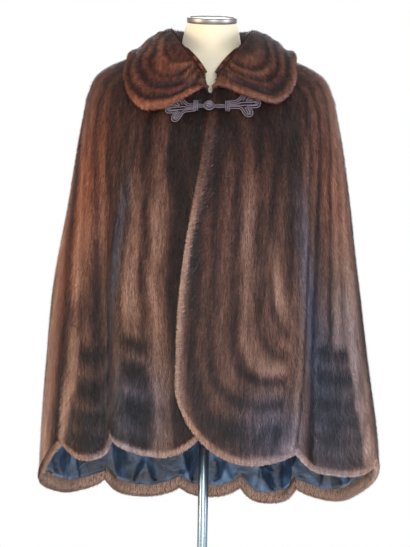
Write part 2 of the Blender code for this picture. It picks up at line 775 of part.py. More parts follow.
def form_loop(section):
    loop = []
    slope = math.tan(NECK_TILT) * ease(NECK_TILT_FROM_Z, FORM[0].z, section.z)
    for index in range(FORM_COLUMNS):
        angle = 2 * math.pi * index / FORM_COLUMNS
        sideways, forwards = math.sin(angle), math.cos(angle)
        depth = section.depth_front if forwards > 0 else section.depth_back
        x = section.half_width * math.copysign(abs(sideways) ** (2 / section.power), sideways)
        y = -depth * math.copysign(abs(forwards) ** (2 / section.power), forwards)
        loop.append(np.array((x, y + section.shift, section.z + slope * y)))
    return loop


def build_form():
    return loft("form_torso", [form_loop(section) for section in FORM[::-1]], "form")


def turned(name, profile, material_name, bevel=0.0):
    """A body turned round the Z axis from (radius, height) points, top to bottom."""
    mesh = bpy.data.meshes.new(name)
    points = [(radius, 0.0, height) for radius, height in profile]
    mesh.from_pydata(points, [(index, index + 1) for index in range(len(points) - 1)], [])
    obj = bpy.data.objects.new(name, mesh)
    bpy.context.scene.collection.objects.link(obj)
    screw = obj.modifiers.new("Turn", "SCREW")
    screw.steps = screw.render_steps = ROUND_SIDES
    screw.use_merge_vertices = True
    screw.merge_threshold = TURN_MERGE
    if bevel:
        soft = obj.modifiers.new("Soft edges", "BEVEL")
        soft.width = bevel
        soft.segments = 2
    return finish(obj, material_name)


def build_cap():
    neck = FORM[0]
    profile = ((0.0, CAP_HEIGHT), (CAP_RADIUS, CAP_HEIGHT), (CAP_RADIUS, 0.0), (0.0, 0.0))
    obj = turned("form_neck_cap", profile, "cap", CAP_BEVEL)
    obj.location = (0.0, neck.shift, neck.z + SEAM_GAP)
    obj.rotation_euler.x = NECK_TILT
    return obj


def build_stand():
    socket_z = FORM[-1].z - SEAM_GAP
    socket = [(point.radius, socket_z + point.z) for point in SOCKET_PROFILE]
    turned("stand_socket", socket, "chrome")
    top, low = socket_z - SOCKET_HEIGHT - SEAM_GAP, HUB_TOP_Z + SEAM_GAP
    pole = ((0.0, top), (POLE_RADIUS, top), (POLE_RADIUS, low), (0.0, low))
    turned("stand_pole", pole, "chrome")
    turned("stand_base", BASE_PROFILE, "base")


def clear_scene():
    for obj in list(bpy.data.objects):
        bpy.data.objects.remove(obj, do_unlink=True)
    for collection in list(bpy.data.collections):
        bpy.data.collections.remove(collection)
    bpy.context.scene.collection.children.link(bpy.data.collections.new("fur_cape"))


def main():
    clear_scene()
    for front in FRONTS:
        build_front(front)
    for gore in GORES:
        build_gore(gore)
    build_lining()
    build_collar()
    for side_name in ("left", "right"):
        build_closure_half(side_name)
        build_wrap(side_name)
    build_knot()
    build_loop()
    build_form()
    build_cap()
    build_stand()


main()
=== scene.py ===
"""Looks of the fur cape on its dress form: pelts with standing hair, satin lining, braided
cord closure, jersey-covered form and its stand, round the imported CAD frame.

A "turn" is the angle round the cape in degrees, 0 at the centre front and positive towards
the wearer's left. A "fall" runs from 0 at the neck edge to 1 at the hem. Both, and the tables
of the cape's form, are those of the CAD source.
"""

import math
from collections import namedtuple

import bmesh
import bpy
import numpy as np
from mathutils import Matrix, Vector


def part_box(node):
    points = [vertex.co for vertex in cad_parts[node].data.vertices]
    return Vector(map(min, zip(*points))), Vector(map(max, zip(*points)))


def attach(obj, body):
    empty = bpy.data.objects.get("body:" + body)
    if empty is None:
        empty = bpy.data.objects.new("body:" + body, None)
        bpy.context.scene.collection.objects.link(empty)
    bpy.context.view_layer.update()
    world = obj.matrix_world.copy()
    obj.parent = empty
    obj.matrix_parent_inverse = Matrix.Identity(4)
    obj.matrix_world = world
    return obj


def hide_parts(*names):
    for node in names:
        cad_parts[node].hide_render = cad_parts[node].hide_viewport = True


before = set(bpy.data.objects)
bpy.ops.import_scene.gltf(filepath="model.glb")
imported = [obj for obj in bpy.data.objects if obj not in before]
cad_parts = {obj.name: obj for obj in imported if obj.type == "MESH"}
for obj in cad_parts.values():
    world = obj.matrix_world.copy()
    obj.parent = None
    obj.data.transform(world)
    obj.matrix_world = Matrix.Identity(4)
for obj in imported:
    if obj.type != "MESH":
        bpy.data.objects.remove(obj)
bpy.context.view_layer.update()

# Cloth and fur, in metres
FUR_WALL = 0.011
SHOULDER_END = 0.22
SHOULDER_JOIN = 0.12
MIDDLE_HEM_Z = 0.600
NORMAL_TURN = 1.5
NORMAL_FALL = 0.02
DIP_ROUND = 0.03
SKIN_OUT = 0.0046  # the skin's outer face lies this far inside the tips of the fur
SKIN_IN = 0.0078  # and its inner face this far

# Rings of the outer fur from the neck to below the shoulder. Each has its own height at front,
# side and back; vee is how sharply it dips to the centre front.
Crown = namedtuple("Crown", "fall half_width depth_front depth_back z_front z_side z_back vee")
CROWN = (
    Crown(0.00, 0.078, 0.116, 0.082, 1.299, 1.434, 1.442, 0.38),
    Crown(0.06, 0.130, 0.125, 0.112, 1.308, 1.425, 1.424, 0.75),
    Crown(0.12, 0.190, 0.133, 0.138, 1.298, 1.4075, 1.396, 1.20),
    Crown(0.17, 0.236, 0.140, 0.155, 1.284, 1.379, 1.361, 1.60),
    Crown(0.22, 0.257, 0.147, 0.163, 1.262, 1.335, 1.318, 2.00),
)

# Level sections below the shoulders, upwards. lean moves one towards the wearer's left.
Section = namedtuple("Section", "z half_width depth_front depth_back lean")
SECTIONS_UP = (
    Section(0.450, 0.3530, 0.2620, 0.2800, 0.0110),
    Section(0.600, 0.3500, 0.2500, 0.2660, 0.0095),
    Section(0.750, 0.3370, 0.2310, 0.2490, 0.0040),
    Section(0.940, 0.3165, 0.2020, 0.2250, 0.0000),
    Section(1.120, 0.2900, 0.1720, 0.1960, 0.0000),
    Section(1.250, 0.2715, 0.1520, 0.1740, 0.0000),
    Section(1.335, 0.2570, 0.1440, 0.1600, 0.0000),
)

# Seams between gores: the turn at each of these falls, and the height of the hem's notch there
SEAM_FALLS = (0.0, 0.22, 0.4, 0.6, 0.8, 1.0)
Seam = namedtuple("Seam", "turns notch_z")
SEAMS = {
    "left_front": Seam((48, 52, 47, 41, 36, 29.6), 0.617),
    "left_side": Seam((92, 88, 77, 70, 68, 73), 0.584),
    "left_back": Seam((128, 130, 134, 139, 142, 144.5), 0.510),
    "left_middle": Seam((163, 163, 165, 167, 168, 167.8), 0.503),
    "right_middle": Seam((197, 197, 195, 193, 191.5, 190.7), 0.502),
    "right_back": Seam((232, 230, 228, 226, 224, 223.3), 0.528),
    "right_side": Seam((268, 273, 287, 297, 302, 302), 0.620),
    "right_front": Seam((312, 307, 312, 317, 321.5, 322.9), 0.647),
}

# Gores between two seams: the height of the scallop's lowest point, where across the gore it
# lies, and the number that its random draws start from
Gore = namedtuple("Gore", "name seam_from seam_to hem_z low seed")
GORES = (
    Gore("gore_side_front_left", "left_front", "left_side", 0.570, 0.42, 3),
    Gore("gore_side_back_left", "left_side", "left_back", 0.492, 0.66, 4),
    Gore("gore_back_left", "left_back", "left_middle", 0.466, 0.50, 5),
    Gore("gore_back_centre", "left_middle", "right_middle", 0.475, 0.50, 6),
    Gore("gore_back_right", "right_middle", "right_back", 0.478, 0.50, 7),
    Gore("gore_side_back_right", "right_back", "right_side", 0.508, 0.38, 8),
    Gore("gore_side_front_right", "right_side", "right_front", 0.592, 0.66, 9),
)
SCALLOP_POWER = 2.2

# Centre fronts: side of the wearer, heights and x of the free edge, upwards, then the seam at
# the other side and the round lower corner
Front = namedtuple("Front", "name side edge_z edge_x seam corner_z bottom_x bottom_z seed")
FRONTS = (
    Front(
        "gore_front_left",
        1,
        (0.775, 0.910, 1.000, 1.100, 1.210, 1.290, 1.335),
        (-0.0610, -0.0560, -0.0480, -0.0350, -0.0170, -0.0045, 0.0002),
        *("left_front", 0.775, 0.081, 0.594, 1),
    ),
    Front(
        "gore_front_right",
        -1,
        (0.800, 0.910, 1.000, 1.100, 1.210, 1.290, 1.335),
        (0.0280, 0.0260, 0.0200, 0.0060, -0.0175, -0.0050, -0.0002),
        *("right_front", 0.790, -0.090, 0.607, 2),
    ),
)
LAP_LIFT = 0.0125  # the left front lies this far out over the right one
LAP_FALLS = (0.06, 0.26)  # where down the front the lift grows
LAP_TURNS = (6.0, 28.0)  # where round the front it fades out

# Folds from the shoulders, with the depth outwards at the hem, negative for a trough
Fold = namedtuple("Fold", "turn_top turn_hem half_width depth start")
FOLDS = (
    Fold(46, 31.0, 6.0, 0.009, 0.25),  # left front ridge
    Fold(62, 39.5, 6.0, -0.019, 0.16),
    Fold(88, 64.0, 13.0, 0.008, 0.30),
    Fold(108, 112.0, 11.0, -0.012, 0.35),
    Fold(132, 143.5, 7.0, -0.022, 0.30),
    Fold(150, 154.0, 4.5, 0.018, 0.45),
    Fold(161, 164.5, 5.0, -0.016, 0.40),
    Fold(180, 179.0, 7.0, 0.012, 0.35),  # centre back
    Fold(197, 191.0, 5.5, -0.017, 0.38),
    Fold(214, 207.0, 8.0, 0.014, 0.35),
    Fold(231, 223.0, 7.0, -0.023, 0.28),
    Fold(252, 250.0, 11.0, -0.011, 0.35),
    Fold(276, 300.0, 11.0, 0.008, 0.30),
    Fold(303, 320.5, 5.5, -0.036, 0.14),
    Fold(318, 331.0, 6.0, 0.010, 0.25),  # right front ridge
)

# Collar by turn: reach down the cape in thousandths of its fall, and height at the roll and at
# the outer edge in millimetres
COLLAR_TURNS = (0, 8, 14, 20, 26, 32, 40, 50, 63, 90, 135, 180)
COLLAR = {
    "reach_left": (14, 36, 75, 125, 160, 178, 172, 148, 118, 96, 135, 160),
    "reach_right": (14, 45, 105, 168, 193, 200, 185, 155, 118, 94, 135, 160),
    "roll": (12, 14, 17, 20, 24, 28, 32, 36, 41, 45, 47, 48),
    "edge": (8, 10, 12, 14, 16, 17, 17, 16, 15, 14, 16, 18),
}
COLLAR_CLEAR = 0.0016  # least height over the gores
COLLAR_FRONT_CLEAR = 0.0030  # and how much more of it in front, within these turns
COLLAR_FRONT_TURNS = (45.0, 62.0)
COLLAR_OPEN_TURN = 7.6  # half the opening in front, in the collar's own table
COLLAR_OPEN = (5.2, 5.4, 9.2, 11.4)  # the opening's half turn at these rows of the slice
COLLAR_OPEN_ROWS = (0, 4, 7, 10)
STAND_IN = 0.0145  # how far inside the neck edge the stand's foot lies
# A slice of the collar, from under its outer edge over the roll and down the stand
CollarPlace = namedtuple("CollarPlace", "share of_edge of_roll inwards")
COLLAR_SLICE = (
    CollarPlace(0.94, 0.00, 0.00, 0.00),
    CollarPlace(1.00, 0.30, 0.00, 0.00),
    CollarPlace(1.03, 0.62, 0.00, 0.00),
    CollarPlace(0.97, 1.00, 0.00, 0.00),
    CollarPlace(0.82, 1.25, 0.00, 0.00),
    CollarPlace(0.60, 0.45, 0.55, 0.00),
    CollarPlace(0.35, 0.15, 0.85, 0.00),
    CollarPlace(0.12, 0.00, 1.00, 0.00),
    CollarPlace(0.00, 0.00, 0.97, 0.30),
    CollarPlace(0.00, 0.00, 0.72, 0.85),
    CollarPlace(0.00, 0.00, 0.35, 1.00),
    CollarPlace(0.00, 0.00, 0.00, 0.90),
)

# How light the collar is, in percent, at millimetres from its outer edge
COLLAR_BANDS = {
    0: 42, 10: 62, 20: 66, 27: 34, 34: 4, 44: 40, 52: 66, 58: 40, 65: 0, 74: 36, 83: 62, 90: 30,
    96: 0, 106: 44, 114: 60, 122: 26, 130: 6, 142: 42, 160: 30,
}
COLLAR_CAP = 0.0030  # the collar's round ends reach this far past its slices

# Let-out strips: how light the fur is, in percent, at millimetres across a gore or up from its
# hem
STRIP_EDGE = {
    0: 80, 10: 80, 20: 60, 26: 22, 32: 6, 40: 14, 46: 30, 58: 38, 66: 16, 70: 6, 76: 26, 84: 42,
    100: 42, 107: 20, 114: 4, 120: 26, 128: 62, 138: 64, 148: 56, 156: 40, 162: 16, 171: 34,
    181: 42, 188: 20, 193: 6, 200: 28, 208: 34, 216: 36, 224: 38, 232: 30, 239: 20, 243: 26,
    250: 44, 258: 46, 264: 36, 270: 46, 278: 62, 286: 58, 293: 30, 300: 34,
}
# Under the bend a strip lies this far up from the hem, for its place at the edge
BEND_UP = (0.0, 0.028, 0.066, 0.128, 0.174, 0.224, 0.290, 0.420)
BEND_EDGE = (0.0, 0.024, 0.0324, 0.0704, 0.1194, 0.1914, 0.278, 0.60)
BEND_ROUND = 3.0
SEAM_PLACE = 0.030  # strips beside a seam start as at this place from an edge
STRIPS_Z = 0.908  # the strips were measured across the front at this height

# Upright strips by thousandths of the width, and bars by millimetres over the hem, where they
# butt against the strips. The bars run from one share of the width to another and end under a
# height. High up the strips lean by a share of the width, and at the hem they flare towards the
# first seam.
Strips = namedtuple("Strips", "upright bars bar_from bar_to bar_top lean flare")
SIDE_BARS = {
    0: 80, 14: 66, 30: 24, 52: 6, 70: 26, 84: 14, 104: 2, 124: 34, 140: 20, 168: 2, 188: 38,
    204: 26, 224: 2, 250: 38,
}
STRIPS = {
    "gore_front_right": Strips(
        {
            0: 45, 250: 10, 320: 6, 350: 2, 380: 26, 415: 56, 450: 58, 480: 68, 510: 74, 545: 56,
            580: 36, 610: 18, 645: 42, 680: 58, 714: 48, 750: 60, 775: 38, 790: 22, 830: 40,
            885: 42, 930: 26, 960: 42, 1000: 24,
        },
        {
            0: 80, 16: 60, 34: 10, 54: 46, 70: 30, 94: 0, 108: 6, 130: 54, 144: 28, 162: 0,
            176: 4, 195: 46, 210: 18, 226: 0, 245: 34,
        },
        *(0.58, 0.79, 0.235, 0.09, 0.0),
    ),
    "gore_side_front_right": Strips(
        {
            0: 20, 70: 34, 140: 56, 260: 74, 340: 62, 410: 42, 500: 52, 600: 44, 690: 24, 765: 6,
            830: 44, 900: 50, 1000: 26,
        },
        {
            0: 80, 12: 66, 26: 22, 48: 2, 68: 22, 78: 10, 95: 0, 116: 30, 130: 16, 157: 0,
            180: 36, 196: 22, 215: 0, 240: 36,
        },
        *(0.39, 0.95, 0.230, 0.0, 0.25),
    ),
    "gore_side_front_left": Strips(
        {
            0: 48, 50: 58, 100: 46, 145: 10, 180: 14, 230: 40, 290: 42, 350: 44, 410: 20, 480: 66,
            570: 76, 650: 62, 760: 80, 880: 82, 1000: 66,
        },
        {
            0: 80, 16: 60, 36: 14, 60: 22, 80: 6, 100: 26, 118: 2, 134: 26, 149: 2, 175: 32,
            199: 2, 226: 38, 240: 26, 259: 4, 285: 38,
        },
        *(0.22, 0.73, 0.272, 0.0, 0.0),
    ),
    "gore_side_back_left": Strips(
        {
            0: 80, 50: 72, 100: 48, 150: 16, 200: 40, 260: 56, 330: 60, 390: 30, 440: 6, 500: 38,
            570: 56, 630: 30, 680: 8, 740: 44, 810: 60, 870: 34, 910: 8, 960: 36, 1000: 20,
        },
        SIDE_BARS,
        *(0.30, 0.78, 0.240, 0.0, 0.0),
    ),
    "gore_side_back_right": Strips(
        {
            0: 20, 50: 36, 100: 10, 160: 42, 220: 58, 290: 34, 340: 8, 400: 40, 470: 56, 520: 30,
            560: 10, 610: 40, 680: 72, 760: 90, 850: 88, 910: 60, 950: 30, 980: 16, 1000: 22,
        },
        SIDE_BARS,
        *(0.14, 0.60, 0.235, 0.0, 0.0),
    ),
}
HEM_WIDTH = 0.300  # width of a front to which its strips' places are stretched

# Soft spots, by turn and height and their reach. Fur lighter (above 0) or darker than its
# strips make it: painted light, mostly painted highlights of the fur's sheen and painted
# shade, as beside the edge of the upper front
Spot = namedtuple("Spot", "turn z half_turn half_z amount")
PAINTED_LIGHT_PATCHES = (
    Spot(28.6, 0.950, 3.0, 0.085, 0.54),
    Spot(3.0, 1.150, 9.0, 0.080, -0.17),
    Spot(-32.0, 0.965, 3.0, 0.080, 0.20),
    Spot(-74.0, 0.960, 12.0, 0.220, 0.08),
    Spot(-58.0, 1.060, 7.0, 0.100, 0.14),
    Spot(-56.0, 0.885, 6.0, 0.035, -0.22),
    Spot(26.0, 0.636, 7.0, 0.026, 0.28),
    Spot(24.0, 0.702, 7.0, 0.018, 0.24),
    Spot(-24.0, 0.690, 9.0, 0.070, -0.14),
    Spot(-36.0, 0.700, 5.0, 0.022, 0.18),
    Spot(-18.0, 0.690, 7.0, 0.070, -0.16),
    Spot(66.0, 1.230, 12.0, 0.080, -0.06),
    Spot(-20.0, 1.160, 10.0, 0.060, -0.10),
    Spot(-12.0, 1.000, 8.0, 0.200, -0.08),
    Spot(140.0, 0.900, 4.0, 0.080, 0.24),
    Spot(-150.0, 0.820, 5.0, 0.070, 0.26),
    Spot(176.0, 0.980, 5.0, 0.090, 0.20),
)
# The sides stand further out here, in metres
PUFFS = (
    Spot(-88.0, 0.940, 20.0, 0.115, 0.0032),
    Spot(88.0, 0.660, 20.0, 0.130, 0.0040),
    Spot(86.0, 1.170, 20.0, 0.130, 0.0045),
)
COLLAR_PUFFS = (
    Spot(94.0, 1.415, 24.0, 0.035, 0.0085),
    Spot(94.0, 1.330, 24.0, 0.050, 0.0050),
)

# Where the fur is redder (above 0) or carries a painted cold sheen (below 0), the bloom of the
# hair's gloss
REDNESS_AND_PAINTED_SHEEN = (
    Spot(-72, 1.16, 20, 0.20, 0.65),
    Spot(-70, 0.94, 9, 0.26, 0.45),
    Spot(-92, 0.86, 12, 0.26, -0.22),
    Spot(-50, 1.26, 20, 0.10, 0.40),
    Spot(68, 1.15, 14, 0.18, 0.55),
    Spot(25, 1.22, 22, 0.08, 0.30),
    Spot(-41.0, 0.92, 3.8, 0.28, -1.20),
    Spot(44.5, 0.90, 6.5, 0.30, -0.90),
    Spot(2.0, 1.13, 6.0, 0.14, 0.40),
    Spot(64, 0.88, 12, 0.16, -0.38),
    Spot(52, 0.72, 10, 0.14, -0.55),
    Spot(-26, 0.70, 13, 0.10, -0.95),
    Spot(23, 0.67, 13, 0.08, -0.90),
    Spot(120, 0.90, 16, 0.25, 0.40),
    Spot(150, 0.75, 5, 0.20, -0.60),
    Spot(176, 1.10, 18, 0.22, 0.35),
    Spot(-160, 0.80, 6, 0.22, -0.60),
    Spot(-128, 0.80, 5, 0.20, -0.60),
)
PLAIN_WARMTH = 0.12
WIDTH_FOR_DEPTH = 1.45  # the cape's rings are this much wider than deep

# Hair: length and width of one, number on each square metre, tip's height for its length. One
# blade of it stands for a small lock.
HAIR_LENGTH = 0.0135
HAIR_WIDTH = 0.0014
HAIR_COUNT = 330000
HAIR_LIFT = 0.34
HAIR_SWAY = (0.10, 0.24, 0.20)  # radians about its width, its length and its root
HAIR_SIZES = (0.72, 1.18)  # lengths of the shortest and the longest, for the plain one
RIM_ROLL = 0.0040  # the skin's round rim stands out this far
RIM_PLUMP = 0.0026  # and swells this much on each face
EDGE_HANG = 0.0075  # the skin's rim keeps this far inside the fur's edge
UNDER_REACH = 0.022  # high up the under front runs on beneath the upper one
HEM_HANG = 0.0095  # and this far above its hem
BACK_HANG = 0.0050  # or this far, at the back

GRID = 0.0065  # spacing of the surfaces' points
FINE_FALL = 0.93  # their rows lie closer below this fall
HANG_FALL, HANG_SPAN = 0.3, 0.7  # the skin is drawn up from its hem below this fall
INNER_ROWS = 8  # hair also grows on this many rows inside the hem
COLLAR_EDGE_ROW = 8  # row of the collar's grid that runs along its outer edge


def srgb(code):
    """A hex colour as the linear numbers that a shader takes."""
    parts = [int(code[place : place + 2], 16) / 255 for place in (1, 3, 5)]
    return (*(p / 12.92 if p <= 0.04045 else ((p + 0.055) / 1.055) ** 2.4 for p in parts), 1.0)


# Form of the cape


def through(places, values, at):
    """A smooth curve through the values at the rising places."""
    places, values = np.asarray(places, float), np.asarray(values, float)
    count = len(places)
    low = np.maximum(np.arange(count) - 1, 0)
    high = np.minimum(np.arange(count) + 1, count - 1)
    slopes = (values[high] - values[low]) / (places[high] - places[low])
    at = np.clip(at, places[0], places[-1])
    cell = np.clip(np.searchsorted(places, at) - 1, 0, count - 2)
    width = places[cell + 1] - places[cell]
    part = (at - places[cell]) / width
    start = values[cell] * (1 + 2 * part) + slopes[cell] * width * part
    end = values[cell + 1] * (3 - 2 * part) - slopes[cell + 1] * width * (1 - part)
    return start * (1 - part) ** 2 + end * part**2


def ease(low, high, at):
    part = np.clip((at - low) / (high - low), 0.0, 1.0)
    return part * part * (3 - 2 * part)


def past(limit, soft, at):
    """From 0 to 1 over a soft step round a limit."""
    return ease(limit - soft, limit + soft, at)


def table(rows, place, name, at):
    return through([getattr(row, place) for row in rows], [getattr(row, name) for row in rows], at)


def signed(turn):
    """The same turn, from -180 to 180."""
    return (turn + 180) % 360 - 180


def in_front(turn):
    return np.cos(np.radians(turn)) > 0


def crown_height(turn, fall):
    sideways = np.abs(np.sin(np.radians(turn)))
    side = table(CROWN, "fall", "z_side", fall)
    front = table(CROWN, "fall", "z_front", fall)
    back = table(CROWN, "fall", "z_back", fall)
    dipped = (sideways**2 + DIP_ROUND**2 * (1 - sideways**2)) ** 0.5
    ahead = front + (side - front) * dipped ** table(CROWN, "fall", "vee", fall)
    return np.where(in_front(turn), ahead, back + (side - back) * sideways**2)


def joined_size(name, fall, z, top):
    level = table(SECTIONS_UP, "z", name, z)
    ring = table(CROWN, "fall", name, np.float64(SHOULDER_END))
    from_ring = ring + level - table(SECTIONS_UP, "z", name, top)
    joined = ease(SHOULDER_END, SHOULDER_END + SHOULDER_JOIN, fall)
    low = from_ring + (level - from_ring) * joined
    return np.where(fall <= SHOULDER_END, table(CROWN, "fall", name, fall), low)


def plain_point(turn, fall, hem_z=MIDDLE_HEM_Z):
    turn, fall, hem_z = np.broadcast_arrays(*(np.asarray(x, float) for x in (turn, fall, hem_z)))
    angle = np.radians(turn)
    top = crown_height(turn, np.full(turn.shape, SHOULDER_END))
    low_z = top + (hem_z - top) * (fall - SHOULDER_END) / (1 - SHOULDER_END)
    z = np.where(fall <= SHOULDER_END, crown_height(turn, fall), low_z)
    half_width = joined_size("half_width", fall, z, top)
    front = joined_size("depth_front", fall, z, top)
    depth = np.where(in_front(turn), front, joined_size("depth_back", fall, z, top))
    lean = np.where(fall <= SHOULDER_END, 0.0, table(SECTIONS_UP, "z", "lean", z))
    return np.stack((lean + half_width * np.sin(angle), -depth * np.cos(angle), z), -1)


def unit(vectors):
    return vectors / np.maximum(np.linalg.norm(vectors, axis=-1, keepdims=True), 1e-12)


def plain_normal(turn, fall, hem_z=MIDDLE_HEM_Z):
    fall = np.asarray(fall, float)
    low, high = np.maximum(fall - NORMAL_FALL, 0.0), np.minimum(fall + NORMAL_FALL, 1.0)
    before, after = turn - NORMAL_TURN, turn + NORMAL_TURN
    around = plain_point(after, fall, hem_z) - plain_point(before, fall, hem_z)
    down = plain_point(turn, high, hem_z) - plain_point(turn, low, hem_z)
    return unit(np.cross(down, around))


def fold_depth(turn, fall):
    total = 0.0
    for fold in FOLDS:
        grown = ease(fold.start, 1.0, fall) ** 0.8
        middle = fold.turn_hem + (fold.turn_top - fold.turn_hem) * (1 - fall) ** 1.5
        across = signed(turn - middle) / fold.half_width
        total = total + fold.depth * grown * np.exp(-across * across)
    return total


def lap_lift(turn, fall):
    turn = signed(turn)
    lifted = LAP_LIFT * ease(*LAP_FALLS, fall) * (1 - ease(*LAP_TURNS, turn))
    return np.where(np.abs(turn) > 90, 0.0, lifted)


def raised(turn, fall, out, hem_z=MIDDLE_HEM_Z):
    """Points a distance out from the cape's plain form."""
    return plain_point(turn, fall, hem_z) + plain_normal(turn, fall, hem_z) * out[..., None]


def cape_point(turn, fall, hem_z, inwards):
    return raised(turn, fall, fold_depth(turn, fall) - inwards, hem_z)


def seam_turn(name, fall):
    return through(SEAM_FALLS, SEAMS[name].turns, fall)


def scallop_height(gore, across):
    notch_from, notch_to = SEAMS[gore.seam_from].notch_z, SEAMS[gore.seam_to].notch_z
    across = across ** (math.log(0.5) / math.log(gore.low))
    level = notch_from + (notch_to - notch_from) * across
    drop = (notch_from + notch_to) / 2 - gore.hem_z
    return level - drop * (1 - np.abs(2 * across - 1) ** SCALLOP_POWER)


def front_hem(front, corner, share):
    part = np.clip(1 - share / corner, 0, 1)
    round_z = front.bottom_z + (front.corner_z - front.bottom_z) * (1 - np.sqrt(1 - part * part))
    part = np.clip((share - corner) / (1 - corner), 0, 1)
    rise = front.bottom_z + (SEAMS[front.seam].notch_z - front.bottom_z) * part**2
    return np.where(share < corner, round_z, rise)


def edge_turn(front, fall):
    middle = plain_point(0.0, fall, front.corner_z)
    x = through(front.edge_z, front.edge_x, middle[..., 2])
    return np.degrees(np.arcsin(x / plain_point(90.0, fall, front.corner_z)[..., 0]))


def front_corner(front):
    """The round corner's share of the front's width at the hem."""
    edge_x = front.edge_x[0]
    seam_x = table(SECTIONS_UP, "z", "half_width", front.bottom_z) * math.sin(
        math.radians(seam_turn(front.seam, 1.0))
    )
    return abs(edge_x - front.bottom_x) / abs(seam_x - edge_x)


def gore_place(gore, share, fall):
    """(turn, hem height) at a share of a gore's width, for a front from its free edge."""
    if isinstance(gore, Front):
        start, end = edge_turn(gore, fall), signed(seam_turn(gore.seam, fall))
        return start + (end - start) * share, front_hem(gore, front_corner(gore), share)
    start, end = seam_turn(gore.seam_from, fall), seam_turn(gore.seam_to, fall)
    return start + (end - start) * share, scallop_height(gore, share)


# Meshes


def joined(parts):
    """The points, or their values, of some grids in one row."""
    return np.concatenate([part.reshape(-1, *part.shape[2:]) for part in parts])


def mesh_piece(name, points, faces, material):
    mesh = bpy.data.meshes.new(name)
    mesh.from_pydata(np.asarray(points).reshape(-1, 3).tolist(), [], faces)
    mesh.update()
    mesh.materials.append(material)
    mesh.shade_smooth()
    piece = bpy.data.objects.new(name, mesh)
    bpy.context.scene.collection.objects.link(piece)
    return piece


def numbered(rows, columns, start=0):
    """The point numbers of a grid."""
    return np.arange(start, start + rows * columns).reshape(rows, columns)


def grid_faces(numbers, flip=False, closed=False):
    """Quads of a grid of point numbers; closed joins its last column to its first."""
    if closed:
        numbers = np.concatenate((numbers, numbers[:, :1]), 1)
    quads = (numbers[:-1, :-1], numbers[1:, :-1], numbers[1:, 1:], numbers[:-1, 1:])
    quads = np.stack(quads, -1).reshape(-1, 4)
    return (quads[:, ::-1] if flip else quads).tolist()


def rim_pairs(numbers):
    """The pairs of neighbours once round the rim of a grid of point numbers."""
    rim = (numbers[0], numbers[1:, -1], numbers[-1, -2::-1], numbers[-2:0:-1, 0])
    rim = np.concatenate(rim).tolist()
    return zip(rim, rim[1:] + rim[:1])


def wall_piece(name, outer, inner, material):
    """A closed wall between two grids of points, and its points in a row."""
    number = numbered(*outer.shape[:2])
    count = number.size
    faces = grid_faces(number) + grid_faces(number + count, flip=True)
    faces += [[here, there, there + count, here + count] for here, there in rim_pairs(number)]
    points = joined((outer, inner))
    piece = mesh_piece(name, points, faces, material)
    chart(piece, points)
    return piece, points


def tube_ends(rows, columns):
    """The two end faces of a tube of rings."""
    return [list(range(columns)), [(rows - 1) * columns + k for k in range(columns)][::-1]]


def put_values(mesh, name, values):
    """Stores a number or a direction for each point of a mesh."""
    values = np.asarray(values, np.float32)
    kind = "FLOAT_VECTOR" if values.ndim > 1 and values.shape[-1] == 3 else "FLOAT"
    layer = mesh.attributes.new(name, kind, "POINT")
    layer.data.foreach_set("vector" if kind == "FLOAT_VECTOR" else "value", values.ravel())


def chart(piece, points):
    """The bake's UV map, by the points' angle round the pole and by their height."""
    turn = np.degrees(np.arctan2(points[:, 0], -points[:, 1]))
    low, high = np.percentile(turn, 0.5), np.percentile(turn, 99.5)
    if high - low > 300:
        turn = turn % 360
        low, high = turn.min(), turn.max()
    u = np.clip((turn - low) / (high - low), 0, 1)
    v = (points[:, 2] - points[:, 2].min()) / (points[:, 2].max() - points[:, 2].min())
    place = np.stack((u, v), -1) * 0.98 + 0.01  # 1% of the map stays free all round
    loops = np.empty(len(piece.data.loops), np.int64)
    piece.data.loops.foreach_get("vertex_index", loops)
    layer = piece.data.uv_layers.new(name="OFBake")
    layer.data.foreach_set("uv", place[loops].astype(np.float32).ravel())


def settle(piece, node=None):
    """The piece's body and the CAD node that it stands in place of."""
    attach(piece, "root")
    if node:
        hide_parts(node)


# Materials


def add(tree, kind, settings=(), **inputs):
    """Adds a node. Its inputs are values or another node's output sockets."""
    node = tree.nodes.new(kind)
    for name, value in dict(settings).items():
        setattr(node, name, value)
    for name, value in inputs.items():
        spaced = name.replace("_", " ")
        socket = node.inputs[int(name[1:])] if name[1:].isdigit() else node.inputs[spaced]
        if isinstance(value, bpy.types.NodeSocket):
            tree.links.new(value, socket)
        else:
            socket.default_value = value
    return node


def ramp(tree, factor, stops):
    """A colour ramp from (place, hex) stops."""
    node = add(tree, "ShaderNodeValToRGB", i0=factor)
    elements = node.color_ramp.elements
    while len(elements) < len(stops):
        elements.new(1.0)
    for element, (place, code) in zip(elements, stops):
        element.position, element.color = place, srgb(code)
    return node.outputs["Color"]


def new_material(name, **principled):
    material = bpy.data.materials.new(name)
    material.use_nodes = True
    tree = material.node_tree
    shader = tree.nodes["Principled BSDF"]
    for key, value in principled.items():
        shader.inputs[key.replace("_", " ")].default_value = value
    return material, tree, shader


def value_of(tree, name):
    """The value that the mesh has under this name."""
    return add(tree, "ShaderNodeAttribute", {"attribute_name": name}).outputs["Fac"]


def object_place(tree):
    return add(tree, "ShaderNodeTexCoord").outputs["Object"]


def noise_of(tree, place, scale=1.0, detail=2.0, distortion=0.0):
    given = {"Vector": place, "Scale": scale, "Detail": detail, "Distortion": distortion}
    return add(tree, "ShaderNodeTexNoise", **given).outputs["Fac"]


def stretched(tree, place, scale):
    return add(tree, "ShaderNodeMapping", Vector=place, Scale=scale).outputs[0]


def ranged(tree, value, low=0.0, high=1.0, start=0.0, end=1.0):
    """The value brought from between start and end to between low and high."""
    return add(tree, "ShaderNodeMapRange", i0=value, i1=start, i2=end, i3=low, i4=high).outputs[0]


def computed(tree, operation, first, second=0.0):
    return add(tree, "ShaderNodeMath", {"operation": operation}, i0=first, i1=second).outputs[0]


